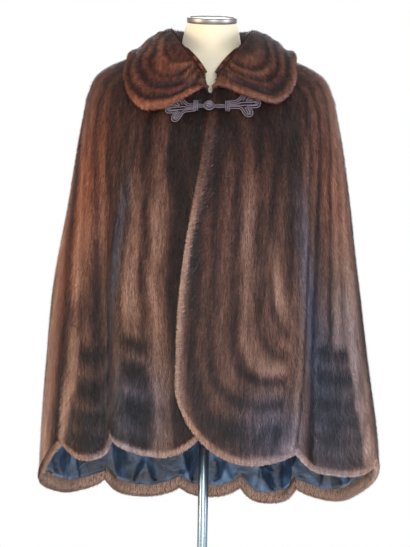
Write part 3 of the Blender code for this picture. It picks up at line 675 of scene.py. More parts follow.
def mixed(tree, part, first, second):
    settings = {"data_type": "RGBA"}
    return add(tree, "ShaderNodeMix", settings, i0=part, i6=first, i7=second).outputs[2]


def scaled(tree, vector, scale):
    settings = {"operation": "SCALE"}
    return add(tree, "ShaderNodeVectorMath", settings, i0=vector, Scale=scale).outputs[0]


# Each kind of mink's colours, from the darkest to the lightest, and their places. The cool kind is
# the painted cold sheen of the hair's gloss
MINK = {
    "plain": ("#1a110d", "#37251e", "#5e4337", "#8b6c5b", "#b1927f", "#e2c6b6"),
    "red": ("#200f09", "#482317", "#78432d", "#a5684a", "#c28f70", "#e0b595"),
    "cool": ("#15181f", "#2a2f3a", "#4c4d5a", "#777584", "#a7a2b0", "#d2ccd6"),
}
MINK_PLACES = (0.0, 0.2, 0.4, 0.624, 0.8, 1.0)
TONE_SCALE = 0.8  # a tone of 1 lies at this place
# Locks of fur 4 mm wide and 40 mm long, and patches two and four times as wide: how many fit
# in a metre each way, and how much their tones differ
LOCKS = (((250.0, 250.0, 25.0), 0.13), ((115.0, 115.0, 6.0), 0.08), ((60.0, 60.0, 5.0), 0.07))
HAIR_OWN = 0.13  # how much one hair's tone differs from its neighbours'
ROOT_LIGHT, TIP_LIGHT = 0.45, 1.15


def mink(name, hair=True):
    """Ranch mink: silky guard hair over a dull underfur. The hair's gloss gives it a cool bloom
    where it turns away from the eye, painted into the colour as painted sheen where the warmth
    value is below 0; strips run from near black down their middle to tan."""
    material, tree, shader = new_material(
        name,
        Roughness=0.42,
        Specular_IOR_Level=0.34,
        Sheen_Weight=0.14,
        Sheen_Roughness=0.45,
        Sheen_Tint=srgb("#b5a49e"),
    )
    place, total = object_place(tree), value_of(tree, "tone")
    for number, reach in LOCKS:
        noise = noise_of(tree, stretched(tree, place, number))
        total = computed(tree, "ADD", total, ranged(tree, noise, -reach, reach, 0.25, 0.75))
    if hair:
        own = ranged(tree, value_of(tree, "chance"), -HAIR_OWN, HAIR_OWN)
        total = computed(tree, "ADD", total, own)
    total = computed(tree, "MULTIPLY", total, TONE_SCALE)
    plain, red, cool = (ramp(tree, total, tuple(zip(MINK_PLACES, MINK[kind]))) for kind in MINK)
    warmth = value_of(tree, "warmth")
    colour = mixed(tree, ranged(tree, warmth), plain, red)
    # painted cold sheen: the cool colours where the warmth value is below 0
    colour = mixed(tree, ranged(tree, warmth, end=-1.0), colour, cool)
    if hair:
        colour = scaled(tree, colour, ranged(tree, value_of(tree, "tip"), ROOT_LIGHT, TIP_LIGHT))
    tree.links.new(colour, shader.inputs["Base Color"])
    return material


fur_hair = mink("mink guard hair")
fur_skin = mink("mink underfur", hair=False)


def bumped(tree, shader, height, strength, distance):
    bump = add(tree, "ShaderNodeBump", Strength=strength, Distance=distance, Height=height)
    tree.links.new(bump.outputs[0], shader.inputs["Normal"])


def satin_material():
    """Acetate lining satin: tightly woven filament, so it has long soft highlights on its
    folds and is nearly black between them."""
    material, tree, shader = new_material(
        "navy lining satin",
        Roughness=0.28,
        Specular_IOR_Level=0.75,
        Sheen_Weight=0.15,
        Sheen_Roughness=0.35,
        Sheen_Tint=srgb("#7f9dc4"),
    )
    place = object_place(tree)
    noise = noise_of(tree, place, 22.0, 4.0, 0.8)
    colour = ramp(tree, noise, ((0.34, "#17212e"), (0.52, "#2d435c"), (0.70, "#5a7ea2")))
    tree.links.new(colour, shader.inputs["Base Color"])
    bumped(tree, shader, noise_of(tree, place, 34.0, 3.0, 1.2), 0.6, 0.006)
    return material


def jersey_material():
    """Cotton jersey stretched over the padded form: matt, faintly ribbed, a rib every 1.6 mm."""
    material, tree, shader = new_material(
        "cream cotton jersey",
        Roughness=0.82,
        Sheen_Weight=0.95,
        Sheen_Roughness=0.6,
        Sheen_Tint=srgb("#fff0d6"),
    )
    place = object_place(tree)
    colour = ramp(tree, noise_of(tree, place, 9.0, 3.0), ((0.3, "#c6bb9e"), (0.7, "#cfc6ac")))
    tree.links.new(colour, shader.inputs["Base Color"])
    ribs = add(tree, "ShaderNodeTexWave", {"bands_direction": "Z"}, Vector=place, Scale=200.0)
    bumped(tree, shader, ribs.outputs["Fac"], 0.12, 0.0004)
    return material


def cord_material():
    """Viscose soutache braid: plaited shiny thread, purple-brown, with a painted highlight along
    each crossing and painted shade between them."""
    material, tree, shader = new_material(
        "soutache braid", Roughness=0.42, Sheen_Weight=0.3, Sheen_Tint=srgb("#8d8094")
    )
    # painted highlight on each crossing of the braid and painted shade between them, also used as
    # its bump
    lit = ranged(tree, computed(tree, "SINE", value_of(tree, "braid")), start=-1.0)
    colour = ramp(tree, lit, ((0.0, "#171315"), (0.5, "#433a3f"), (1.0, "#786b74")))
    tree.links.new(colour, shader.inputs["Base Color"])
    bumped(tree, shader, lit, 0.6, 0.0006)
    return material


def metal_material(name, code, roughness):
    """Turned metal, polished or satin: fine lines round it spread the light sideways."""
    material, tree, shader = new_material(name, Metallic=1.0, Roughness=roughness)
    lines = noise_of(tree, stretched(tree, object_place(tree), (4.0, 4.0, 90.0)), 3.0)
    base = srgb(code)
    dim = (*(channel * 0.86 for channel in base[:3]), 1.0)
    tree.links.new(mixed(tree, lines, dim, base), shader.inputs["Base Color"])
    return material


satin = satin_material()
jersey = jersey_material()
braid_cord = cord_material()
chrome = metal_material("chromed steel tube", "#97a9b2", 0.28)
cap_metal = metal_material("dull nickel rim", "#8f8a82", 0.42)
base_metal = metal_material("satin steel plate", "#8d9194", 0.38)


# Fur: skin surfaces with a tone and a nap direction, and hair laid on them


def noise_at(across, along, seed, cell_across, cell_along):
    """Smooth noise from -1 to 1 over a surface's own two lengths."""
    made = np.random.default_rng(seed)
    values = made.uniform(-1, 1, (64, 64))
    u, v = across / cell_across, along / cell_along
    iu, iv = np.floor(u).astype(int), np.floor(v).astype(int)
    fu, fv = u - iu, v - iv
    fu, fv = fu * fu * (3 - 2 * fu), fv * fv * (3 - 2 * fv)

    def at(du, dv):
        return values[(iu + du) % 64, (iv + dv) % 64]

    low = at(0, 0) * (1 - fu) + at(1, 0) * fu
    high = at(0, 1) * (1 - fu) + at(1, 1) * fu
    return low * (1 - fv) + high * fv


def rounded_min(first, second, power):
    """The lesser of two lengths, with a round bend where they meet."""
    first, second = np.maximum(first, 1e-5), np.maximum(second, 1e-5)
    return (first**-power + second**-power) ** (-1 / power)


def lengths(points, axis):
    """Length along a grid of points from its start, in metres."""
    steps = np.linalg.norm(np.diff(points, axis=axis), axis=-1)
    zero = np.zeros_like(np.take(steps, [0], axis=axis))
    return np.concatenate((zero, np.cumsum(steps, axis=axis)), axis=axis)


def light_at(places, percents):
    """How light the fur is at places in metres or shares, from percents by thousandths."""
    return np.interp(places, np.array([*percents]) / 1000, np.array([*percents.values()]) / 100)


def strip_tone(gore, share, points):
    """How light the fur is, from let-out strips that run down the gore and turn or butt near
    its hem, from the pale rim, and from painted highlights and painted shade."""
    across, along = lengths(points, 1), lengths(points, 0)
    from_hem = along[-1:] - along + HEM_HANG
    down = along / along[-1:]
    z = points[..., 2]

    def noise(seed, cell_across, cell_along):
        return noise_at(across, along, gore.seed + seed, cell_across, cell_along)

    wander = 0.0016 * noise(0, 0.07, 0.30)
    wander += 0.0008 * noise(20, 0.03, 0.14)
    if gore.name in STRIPS:
        strips = STRIPS[gore.name]
        bent = share + wander / across[:, -1:] + strips.lean * ease(0.93, 1.13, z)
        bent = bent + strips.flare * (1 - share) * (1 - ease(0.64, 0.80, z))
        upright = light_at(bent, strips.upright)
        uneven = 0.005 * noise(7, 0.022, 0.06)
        bars = light_at(from_hem + wander * 1.5 + uneven, strips.bars)
        ragged = bent + 0.03 * noise(9, 0.03, 0.022)
        within = past(strips.bar_from, 0.03, ragged)
        within *= 1 - past(strips.bar_to, 0.04, ragged)
        within *= 1 - past(strips.bar_top, 0.014, from_hem + 4 * uneven)
        tone = upright + (bars - upright) * within
    else:
        if isinstance(gore, Front):
            row = np.argmin(np.abs(points[:, -1, 2] - STRIPS_Z))
            reach = across[:, -1:] - across
            from_seam = np.interp(reach, reach[row, ::-1], share[row, ::-1])
            side = (share + (from_seam - share) * ease(0.88, 1.0, z)) * HEM_WIDTH
        else:
            side = np.minimum(share, 1 - share) * across[-12, -1] + SEAM_PLACE
        up = np.interp(from_hem, BEND_UP, BEND_EDGE)
        place = rounded_min(side, up, BEND_ROUND) + wander
        tone = light_at(place, STRIP_EDGE)
        if isinstance(gore, Front):
            seam_side = ease(0.80, 0.835, share + wander)
            upright = light_at(side + wander, STRIP_EDGE)
            tone = tone + (upright - tone) * seam_side
    # painted highlights of the fur's sheen and painted shade, from the soft spots
    tone = tone + spots(points, PAINTED_LIGHT_PATCHES)
    # They are darker towards the neck, and under the collar they carry painted shade, with fine
    # dark streaks where the fur is gathered
    high = 1 - ease(0.05, 0.34, down)
    tone = tone * (1 - 0.25 * high) + 0.05 * high
    collar_shade_and_gathers = ease(1.10, 1.25, z) * (1 - ease(0.15, 0.24, np.abs(points[..., 0])))
    collar_shade_and_gathers = collar_shade_and_gathers * (0.5 + 0.5 * ease(-0.02, 0.08, -points[..., 1]))
    tone = tone * (1 - 0.62 * collar_shade_and_gathers) + 0.10 * noise(90, 0.0065, 0.30) * collar_shade_and_gathers
    tone = tone + 0.10 * noise(40, 0.016, 0.20)
    tone = tone + 0.08 * noise(60, 0.10, 0.26)
    low = 1 - ease(0.70, 0.84, z)
    tone = tone + 0.13 * low * noise(50, 0.024, 0.030)
    at_hem = 1 - ease(0.016, 0.023, from_hem)
    tone = tone + (0.80 - tone) * at_hem
    if isinstance(gore, Front):
        edge = across + EDGE_HANG
        shade = ease(0.022, 0.032, edge) * (1 - ease(0.036, 0.054, edge))
        tone = tone - 0.11 * shade * (1 - at_hem)
        light = 0.80 - 0.48 * ease(1.04, 1.20, z)
        at_edge = (1 - ease(0.018, 0.026, edge)) * ease(0.02, 0.2, down)
        tone = tone + (light - tone) * at_edge
    return tone


def spots(points, table_of_spots):
    """The sum of soft spots at points of the fur."""
    turn = np.degrees(np.arctan2(points[..., 0] / WIDTH_FOR_DEPTH, -points[..., 1]))
    total = np.zeros(turn.shape)
    for spot in table_of_spots:
        across = signed(turn - spot.turn) / spot.half_turn
        up = (points[..., 2] - spot.z) / spot.half_z
        total += spot.amount * np.exp(-(across**2) - up**2)
    return total


def warmth_and_sheen_at(points):
    return np.clip(PLAIN_WARMTH + spots(points, REDNESS_AND_PAINTED_SHEEN), -1, 1)


def gore_surface(gore):
    """The skin's grid from the neck down: its turns, falls, shares of the width and hems."""
    if isinstance(gore, Front):
        corner = front_corner(gore)
        round_part = (1 - np.cos(np.linspace(0, math.pi / 2, 18))) * corner
        shares = np.concatenate((round_part[:-1], np.linspace(corner, 1, 18)))
    else:
        ends = (gore_place(gore, np.float64(share), np.float64(1.0)) for share in (0.0, 1.0))
        start, end = (plain_point(turn, 1.0, hem_z) for turn, hem_z in ends)
        shares = np.linspace(0, 1, max(12, int(np.linalg.norm(start - end) / GRID)))
    high, middle = np.linspace(0, SHOULDER_END, 28), np.linspace(SHOULDER_END, FINE_FALL, 80)
    falls = np.concatenate((high[:-1], middle[:-1], np.linspace(FINE_FALL, 1, 18)))
    fall, share = np.meshgrid(falls, shares, indexing="ij")
    if isinstance(gore, Front):
        turn, hem_z = gore_place(gore, share, fall)
        plain = plain_point(turn, fall, hem_z)
        under = UNDER_REACH * ease(1.05, 1.12, plain[..., 2])
        hang = EDGE_HANG - (under if gore.side < 0 else 0.0)
        share = share + (1 - share) * hang / lengths(plain, 1)[:, -1:]
    turn, hem_z = gore_place(gore, share, fall)
    length = plain_point(turn, HANG_FALL, hem_z)[..., 2] - hem_z
    hang = BACK_HANG if "_back_" in gore.name else HEM_HANG
    fall = fall - hang / length * HANG_SPAN * ease(HANG_FALL, 1.0, fall)
    return turn, fall, share, hem_z


def facing(faces, points, out):
    """The quads, turned so that each faces the way out that is given for its points."""
    faces = np.asarray(faces)
    corners = points[faces]
    normal = np.cross(corners[:, 2] - corners[:, 0], corners[:, 3] - corners[:, 1])
    wrong = (normal * out[faces].sum(1)).sum(-1) < 0
    faces[wrong] = faces[wrong][:, ::-1]
    return faces.tolist()


def rim_rows(outer, inner, path):
    """Points of a round rim along a path of the grid, their directions outwards and their nap."""
    first, second = outer[tuple(path.T)], inner[tuple(path.T)]
    along = unit(np.gradient(first, axis=0))
    across = unit(first - second)
    back = np.stack((np.minimum(path[:, 0], len(outer) - 9), np.maximum(path[:, 1], 3)), 1)
    away = np.cross(along, across)
    away *= np.sign(((first - outer[tuple(back.T)]) * away).sum(-1, keepdims=True))
    angle = np.linspace(0, math.pi, 7)[1:-1, None, None]
    middle, half = (first + second) / 2, (first - second) / 2
    points = middle + half * np.cos(angle) + away * RIM_ROLL * np.sin(angle)
    out = across * np.cos(angle) + away * np.sin(angle)
    nap = away * np.cos(angle) - across * np.sin(angle) + 0.9 * along
    return points, out, nap


def pelt_skin(name, outer, inner, ribs, path, tone, dim_high):
    """A thin closed skin between two grids, with the ribs of a round rim along a path."""
    number = numbered(*outer.shape[:2])
    count = number.size
    on_path = number[tuple(path.T)]
    on_ribs = numbered(*ribs.shape[:2], 2 * count)
    strip = np.concatenate((on_path[None], on_ribs, on_path[None] + count))
    faces = [*grid_faces(number), *grid_faces(number + count), *grid_faces(strip)]
    taken = {frozenset(pair) for pair in zip(on_path.tolist(), on_path[1:].tolist())}
    for here, there in rim_pairs(number):
        if frozenset((here, there)) not in taken:
            faces.append([here, there, there + count, here + count])
    faces += [strip[:, 0].tolist(), strip[:, -1].tolist()]
    points = joined((outer, inner, ribs))
    skin = mesh_piece(name, points, faces, fur_skin)
    work = bmesh.new()
    work.from_mesh(skin.data)
    bmesh.ops.recalc_face_normals(work, faces=work.faces)
    work.to_mesh(skin.data)
    work.free()
    skin.data.shade_smooth()
    on_rim = 0.75 - dim_high * ease(1.02, 1.18, ribs[..., 2])
    put_values(skin.data, "tone", joined((tone, np.full(tone.shape, 0.45), on_rim)))
    put_values(skin.data, "warmth", warmth_and_sheen_at(points))
    chart(skin, points)
    return skin


def hair_tree():
    """Geometry Nodes that lay one blade of fur at each of many points of a skin, along its nap."""
    tree = bpy.data.node_groups.new("Laid fur", "GeometryNodeTree")
    inputs = {
        "Skin": "Geometry",
        "Blade": "Object",
        "Count": "Float",
        "Length": "Float",
        "Width": "Float",
        "Sway": "Vector",
        "Seed": "Int",
        "Material": "Material",
    }
    sockets = [(name, "INPUT", kind) for name, kind in inputs.items()]
    for name, way, kind in (*sockets, ("Fur", "OUTPUT", "Geometry")):
        tree.interface.new_socket(name, in_out=way, socket_type="NodeSocket" + kind)
    given = tree.nodes.new("NodeGroupInput").outputs
    number, direction = {"data_type": "FLOAT"}, {"data_type": "FLOAT_VECTOR"}

    def node(kind, settings=(), **inputs):
        return add(tree, kind, settings, **inputs).outputs

    points = node(
        "GeometryNodeDistributePointsOnFaces",
        {"distribute_method": "RANDOM"},
        Mesh=given["Skin"],
        Density=given["Count"],
        Seed=given["Seed"],
    )
    nap = node("GeometryNodeInputNamedAttribute", direction, Name="nap")["Attribute"]
    size = node("GeometryNodeInputNamedAttribute", number, Name="size")["Attribute"]
    align = "FunctionNodeAlignRotationToVector"
    upright = node(align, {"axis": "Z"}, Vector=points["Normal"])[0]
    laid = node(align, {"axis": "Y", "pivot_axis": "Z"}, Rotation=upright, Vector=nap)[0]
    back = scaled(tree, given["Sway"], -1.0)
    sway = node("FunctionNodeRandomValue", direction, Min=back, Max=given["Sway"], Seed=11)
    turned = node("FunctionNodeEulerToRotation", i0=sway["Value"])[0]
    local = {"rotation_space": "LOCAL"}
    swayed = node("FunctionNodeRotateRotation", local, Rotation=laid, Rotate_By=turned)[0]
    low, high = HAIR_SIZES
    vary = node("FunctionNodeRandomValue", number, i2=low, i3=high, Seed=12)[1]
    long = computed(tree, "MULTIPLY", computed(tree, "MULTIPLY", vary, size), given["Length"])
    placed = node(
        "GeometryNodeInstanceOnPoints",
        Points=points["Points"],
        Instance=node("GeometryNodeObjectInfo", Object=given["Blade"])["Geometry"],
        Rotation=swayed,
        Scale=node("ShaderNodeCombineXYZ", X=given["Width"], Y=long, Z=long)[0],
    )[0]
    stored = node(
        "GeometryNodeStoreNamedAttribute",
        {"data_type": "FLOAT", "domain": "INSTANCE"},
        Geometry=placed,
        Name="chance",
        Value=node("FunctionNodeRandomValue", number, Seed=13)[1],
    )[0]
    real = node("GeometryNodeRealizeInstances", Geometry=stored)[0]
    dressed = node("GeometryNodeSetMaterial", Geometry=real, Material=given["Material"])[0]
    tree.links.new(dressed, tree.nodes.new("NodeGroupOutput").inputs[0])
    return tree


def hair_blade():
    """One lock of laid hair, 1 long and 1 wide at its root: a single face, for there are
    hundreds of thousands."""
    points = ((-0.5, 0.0, 0.0), (0.5, 0.0, 0.0), (0.0, 1.0, HAIR_LIFT))
    piece = mesh_piece("hair_blade", points, [(0, 1, 2)], fur_hair)
    put_values(piece.data, "tip", (0.0, 0.0, 1.0))
    return piece


LAID_FUR = hair_tree()
BLADE = hair_blade()


def lay_fur(name, points, faces, out, seed, **values):
    """Hair on a surface, as one plain mesh. Each point has a direction out of the surface and
    the values that the hair's tree and material read."""
    skin = mesh_piece("root", points, facing(faces, points, out), fur_skin)
    for key, value in values.items():
        put_values(skin.data, key, value)
    modifier = skin.modifiers.new("Laid fur", "NODES")
    modifier.node_group = LAID_FUR
    given = {
        "Blade": BLADE,
        "Count": HAIR_COUNT,
        "Length": HAIR_LENGTH,
        "Width": HAIR_WIDTH,
        "Sway": HAIR_SWAY,
        "Seed": seed,
        "Material": fur_hair,
    }
    for item in LAID_FUR.interface.items_tree:
        if item.in_out == "INPUT" and item.name in given:
            modifier[item.identifier] = given[item.name]
    mesh = shown_mesh(skin)
    bpy.data.objects.remove(skin)
    fur = bpy.data.objects.new(name, mesh)
    bpy.context.scene.collection.objects.link(fur)
    points = np.empty(len(mesh.vertices) * 3)
    mesh.vertices.foreach_get("co", points)
    chart(fur, points.reshape(-1, 3))
    settle(fur)
    return fur


def shown_mesh(piece):
    """A mesh of the piece as its modifiers show it, which are then removed."""
    graph = bpy.context.evaluated_depsgraph_get()
    mesh = bpy.data.meshes.new_from_object(piece.evaluated_get(graph), depsgraph=graph)
    piece.modifiers.clear()
    return mesh


def rim_swell(inwards):
    """The plump roll of a rim and the groove behind it, from 1 to below 0."""
    roll = np.clip(1 - ((inwards - 0.006) / 0.012) ** 2, 0, 1)
    return roll - 0.45 * np.exp(-(((inwards - 0.024) / 0.006) ** 2))


def build_pelt(gore):
    """A gore's skin as a thin closed shell with a round rim, and the fur on it."""
    turn, fall, share, hem_z = gore_surface(gore)
    is_front = isinstance(gore, Front)
    lift = lap_lift(turn, fall) if is_front and gore.side > 0 else 0.0
    outer = cape_point(turn, fall, hem_z, SKIN_OUT - lift)
    inner = cape_point(turn, fall, hem_z, SKIN_IN - lift)
    out = unit(outer - inner)
    puff = out * spots(outer, PUFFS)[..., None]
    from_hem = lengths(outer, 0)[-1:] - lengths(outer, 0)
    at_hem = RIM_PLUMP * rim_swell(from_hem)
    at_edge = RIM_PLUMP * rim_swell(lengths(outer, 1)) * ease(0.1, 0.3, fall) if is_front else 0.0
    outer = outer + puff + out * np.maximum(at_hem, at_edge)[..., None]
    inner = inner + puff - out * at_hem[..., None]
    rows, columns = outer.shape[:2]
    edge = [(row, 0) for row in range(rows - 1)] if is_front else []
    path = np.array(edge + [(rows - 1, column) for column in range(columns)])
    tone = strip_tone(gore, share, outer)
    ribs, rib_out, rib_nap = rim_rows(outer, inner, path)
    name = gore.name.replace("gore", "pelt")
    skin = pelt_skin(name, outer, inner, ribs, path, tone, 0.45 if is_front else 0.0)

    # Hair grows from the outer face, the rim and a band inside the hem
    across = unit(np.gradient(outer, axis=1))
    down = unit(np.gradient(outer, axis=0))
    outwards = unit(outer - inner)
    band = inner[-INNER_ROWS:]
    points = joined((outer, ribs, band))
    on_outer = numbered(rows, columns)
    on_ribs = numbered(*ribs.shape[:2], on_outer.size)
    on_band = numbered(INNER_ROWS, columns, on_outer.size + on_ribs.size)
    strip = np.concatenate((on_outer[tuple(path.T)][None], on_ribs))
    hem_strip = np.concatenate((on_ribs[-1:, -columns:], on_band[::-1]))
    faces = [*grid_faces(on_outer), *grid_faces(strip), *grid_faces(hem_strip)]
    from_edge = lengths(outer, 1) if is_front else np.full(share.shape, 1.0)
    fan = 0.30 * ease(0.3, 1.0, fall) * ((share * 1.2 - 0.8) if is_front else (2 * share - 1))
    near_edge = 1 - ease(0.0, 0.045, from_edge)
    nap = down + across * (fan - 1.1 * near_edge)[..., None]
    sway = 0.22 * noise_at(lengths(outer, 1), lengths(outer, 0), gore.seed + 80, 0.05, 0.09)
    near_hem = 1 - ease(0.004, 0.022, from_hem)
    nap = nap + across * (sway + 0.9 * near_hem)[..., None]
    rim_part = 1 - ease(0.0, 0.03, np.minimum(from_hem, from_edge))
    size = (0.70 + 0.30 * ease(0.02, 0.25, fall)) * (1 - 0.48 * rim_part)
    rib_size, band_size = np.full(on_ribs.shape, 0.42), np.full(on_band.shape, 0.52)
    rib_tone = np.ones(on_ribs.shape)
    if is_front:
        rib_tone = 0.86 - 0.56 * ease(1.02, 1.18, ribs[..., 2])
    # The band inside the hem is redder, and paler (tone 1.16) than the fur outside: partly the
    # turned fur's own pale colour, partly painted light that lifts it out of the shade inside the
    # hem
    warmth = warmth_and_sheen_at(points)
    warmth[-on_band.size :] += 0.45
    fur = lay_fur(
        gore.name.replace("gore", "fur"),
        points,
        faces,
        joined((outwards, rib_out, -outwards[-INNER_ROWS:])),
        gore.seed,
        tone=joined((tone, rib_tone, np.full(on_band.shape, 1.16))),
        warmth=warmth,
        nap=unit(joined((nap, rib_nap, -down[-INNER_ROWS:]))),
        size=joined((size, rib_size, band_size)),
    )
    settle(skin, gore.name)


# Collar


def collar_value(name, turn):
    """A value of the collar's table at the turns. Its reach has a column for each side."""
    folded = np.abs(signed(turn))

    def column(title):
        return through(COLLAR_TURNS, np.array(COLLAR[title]) / 1000, folded)

    if name == "reach":
        return np.where(turn < 180, column("reach_left"), column("reach_right"))
    return column(name)


def collar_grid(turns):
    """Points from under the outer edge over the top and down the stand, for each turn, and
    their directions out of the fur."""
    places = np.linspace(0, len(COLLAR_SLICE) - 1, 60)
    share, of_edge, of_roll, inwards = (
        through(range(len(COLLAR_SLICE)), [getattr(row, name) for row in COLLAR_SLICE], places)
        for name in CollarPlace._fields
    )
    turn, share = np.meshgrid(turns, share, indexing="xy")
    opened = np.interp(places, COLLAR_OPEN_ROWS, COLLAR_OPEN)[:, None]
    turn = 180 + (turn - 180) * (180 - opened) / (180 - COLLAR_OPEN_TURN)
    reach, roll, edge = (collar_value(name, turn) for name in ("reach", "roll", "edge"))
    folded = np.minimum(turn, 360 - turn)
    clear = COLLAR_CLEAR + COLLAR_FRONT_CLEAR * (1 - ease(*COLLAR_FRONT_TURNS, folded))
    fall = np.maximum(reach * share, 0.0)
    out = np.maximum(edge * of_edge[:, None] + roll * of_roll[:, None], clear)
    inward = -unit(plain_point(turns, 0.0) * (1, 1, 0)) * STAND_IN
    points = raised(turn, fall, out + lap_lift(turn, fall))
    points = points + inward[None] * inwards[:, None, None]
    around, across = np.gradient(points, axis=1), np.gradient(points, axis=0)
    return points, unit(np.cross(around, across))


def collar_ends(points, normal, sunk):
    """The grid set inside the fur, with a rounded cap closing each end of the collar."""
    points = points - normal * sunk
    angle = np.linspace(0, math.radians(80), 7)[1:, None, None]
    caps = []
    for end, inner in ((0, 1), (-1, -2)):
        edge = points[:, end]
        middle = edge.mean(0)
        away = unit((edge - points[:, inner]).mean(0))
        cap = middle + (edge - middle) * np.cos(angle) + away * COLLAR_CAP * np.sin(angle)
        caps.append(cap.transpose(1, 0, 2) - away * sunk)
    return np.concatenate((caps[0][:, ::-1], points, caps[1]), 1)


def collar_tone(across, along):
    """Bands of light and dark that run round each lobe, at distances from its edge."""
    at = from_collar_edge(along) + 0.009 * noise_at(across, along, 71, 0.07, 0.05)
    tone = light_at(at, COLLAR_BANDS)
    tone = tone + 0.20 * noise_at(across, along, 70, 0.10, 0.06)
    tone = tone + 0.16 * noise_at(across, along, 72, 0.05, 0.016)
    return tone - 0.10 + (0.42 - tone) * stand_part(along)


def from_collar_edge(along):
    return np.abs(along - along[COLLAR_EDGE_ROW : COLLAR_EDGE_ROW + 1])


def stand_part(along):
    """1 on the collar's stand inside the roll, 0 on its turned-down fall."""
    rows = np.linspace(0, len(COLLAR_SLICE) - 1, len(along))
    return ease(6.8, 8.2, rows)[:, None]


def build_collar():
    """The collar's pelt, turned down over its own roll, and the fur on it."""
    part = np.linspace(-1, 1, 170)
    crowded = np.sign(part) * (1 - (1 - np.abs(part)) ** 1.25)
    surface, normal = collar_grid(180 + (180 - COLLAR_OPEN_TURN) * crowded)
    across, along = lengths(surface, 1), lengths(surface, 0)
    waves = 0.0080 * (collar_tone(across, along) - 0.40)
    waves += 0.0014 * noise_at(across, along, 75, 0.025, 0.02)
    waves = np.clip(waves, -0.0042, 0.0022) * (1 - stand_part(along))
    waves = waves * (1 - 0.65 * ease(1.37, 1.42, surface[..., 2]))
    waves = waves + spots(surface, COLLAR_PUFFS) * (1 - stand_part(along))
    surface = surface + normal * waves[..., None]
    outer = collar_ends(surface, normal, SKIN_OUT)
    inner = collar_ends(surface, normal, SKIN_IN)
    across, along = lengths(outer, 1), lengths(outer, 0)
    tone = collar_tone(across, along)
    skin, both = wall_piece("pelt_collar", outer, inner, fur_skin)
    put_values(skin.data, "tone", joined((tone, tone)))
    put_values(skin.data, "warmth", collar_warmth_and_sheen(both))
    points = joined((outer,))
    down = -unit(np.gradient(outer, axis=0))
    around = unit(np.gradient(outer, axis=1))
    swirl = 0.40 * noise_at(across, along, 73, 0.08, 0.08)
    at_edge = 1 - ease(0.004, 0.026, from_collar_edge(along))
    at_end = 1 - ease(0.006, 0.024, np.minimum(across, across[:, -1:] - across))
    under = 1 - ease(0.0, 0.012, along)
    size = 0.92 - 0.44 * np.maximum(np.maximum(at_edge, at_end), under)
    size = size - 0.14 * stand_part(along)
    size = size * (1 - 0.38 * ease(1.405, 1.445, outer[..., 2]))
    fur = lay_fur(
        "fur_collar",
        points,
        grid_faces(numbered(*outer.shape[:2])),
        joined((outer - inner,)),
        30,
        tone=tone.ravel(),
        warmth=collar_warmth_and_sheen(points),
        nap=joined((unit(down + around * (swirl + 1.2 * at_edge)[..., None]),)),
        size=size.ravel(),
    )
    settle(skin, "collar")


def collar_warmth_and_sheen(points):
    """The lobe on the wearer's right is redder, and the tops of both carry a painted cold sheen.
    """
    side = ease(-0.09, 0.09, points[:, 0])
    top = ease(1.40, 1.45, points[:, 2])
    return 1.00 * (1 - side) + 0.50 * side - 0.70 * top


# Lining

LINING_EASE = 0.0010
LINING_EASE_HIGH = 0.0003  # over the shoulders it lies closer
LINING_WALL = 0.0012
LINING_FALL = 0.973  # it ends this far down
LINING_END = 0.006  # share of a side front that it leaves free beside the front's seam
CREASE_DEEPER = 1.9
CREASE_SPREAD = 0.85
PUCKER = 0.0026  # small gathers where the lining is felled to the fur
# The lining's creases: where each lies, which way it slants and from which fall it grows
Crease = namedtuple("Crease", "turn slant half_width depth top")
CREASES = (
    Crease(52, 4, 1.6, 0.005, 0.80),
    Crease(61, -3, 1.2, 0.004, 0.84),
    Crease(70, 6, 2.2, 0.006, 0.72),
    Crease(84, -5, 1.8, 0.005, 0.78),
    Crease(97, 3, 2.6, 0.006, 0.66),
    Crease(112, -6, 2.0, 0.005, 0.74),
    Crease(124, 5, 1.5, 0.006, 0.80),
    Crease(133, -4, 2.4, 0.007, 0.70),
    Crease(141, 5, 1.4, 0.006, 0.82),
    Crease(148, -7, 1.2, 0.006, 0.86),
    Crease(155, 6, 2.0, 0.007, 0.76),
    Crease(162, -4, 1.1, 0.005, 0.84),
    Crease(169, 8, 1.6, 0.006, 0.80),
    Crease(177, -5, 2.2, 0.007, 0.70),
    Crease(185, 6, 1.2, 0.006, 0.85),
    Crease(192, -8, 1.8, 0.007, 0.78),
    Crease(200, 5, 2.6, 0.007, 0.68),
    Crease(209, -6, 1.5, 0.006, 0.82),
    Crease(217, 7, 1.9, 0.007, 0.76),
    Crease(226, -4, 1.2, 0.006, 0.84),
    Crease(236, 6, 2.4, 0.006, 0.70),
    Crease(249, -5, 1.8, 0.005, 0.78),
    Crease(263, 4, 2.6, 0.006, 0.64),
    Crease(278, -6, 1.6, 0.005, 0.80),
    Crease(290, 5, 1.4, 0.005, 0.82),
    Crease(303, -3, 1.8, 0.004, 0.78),
)


def crease_depth(turn, fall):
    total = 0.0
    for crease in CREASES:
        grown = ease(crease.top, 1.0, fall) ** 0.7
        middle = crease.turn + crease.slant * (1 - fall) * 11
        across = (turn - middle) / (crease.half_width * CREASE_SPREAD)
        total = total + CREASE_DEEPER * crease.depth * grown * np.exp(-across * across)
    return total


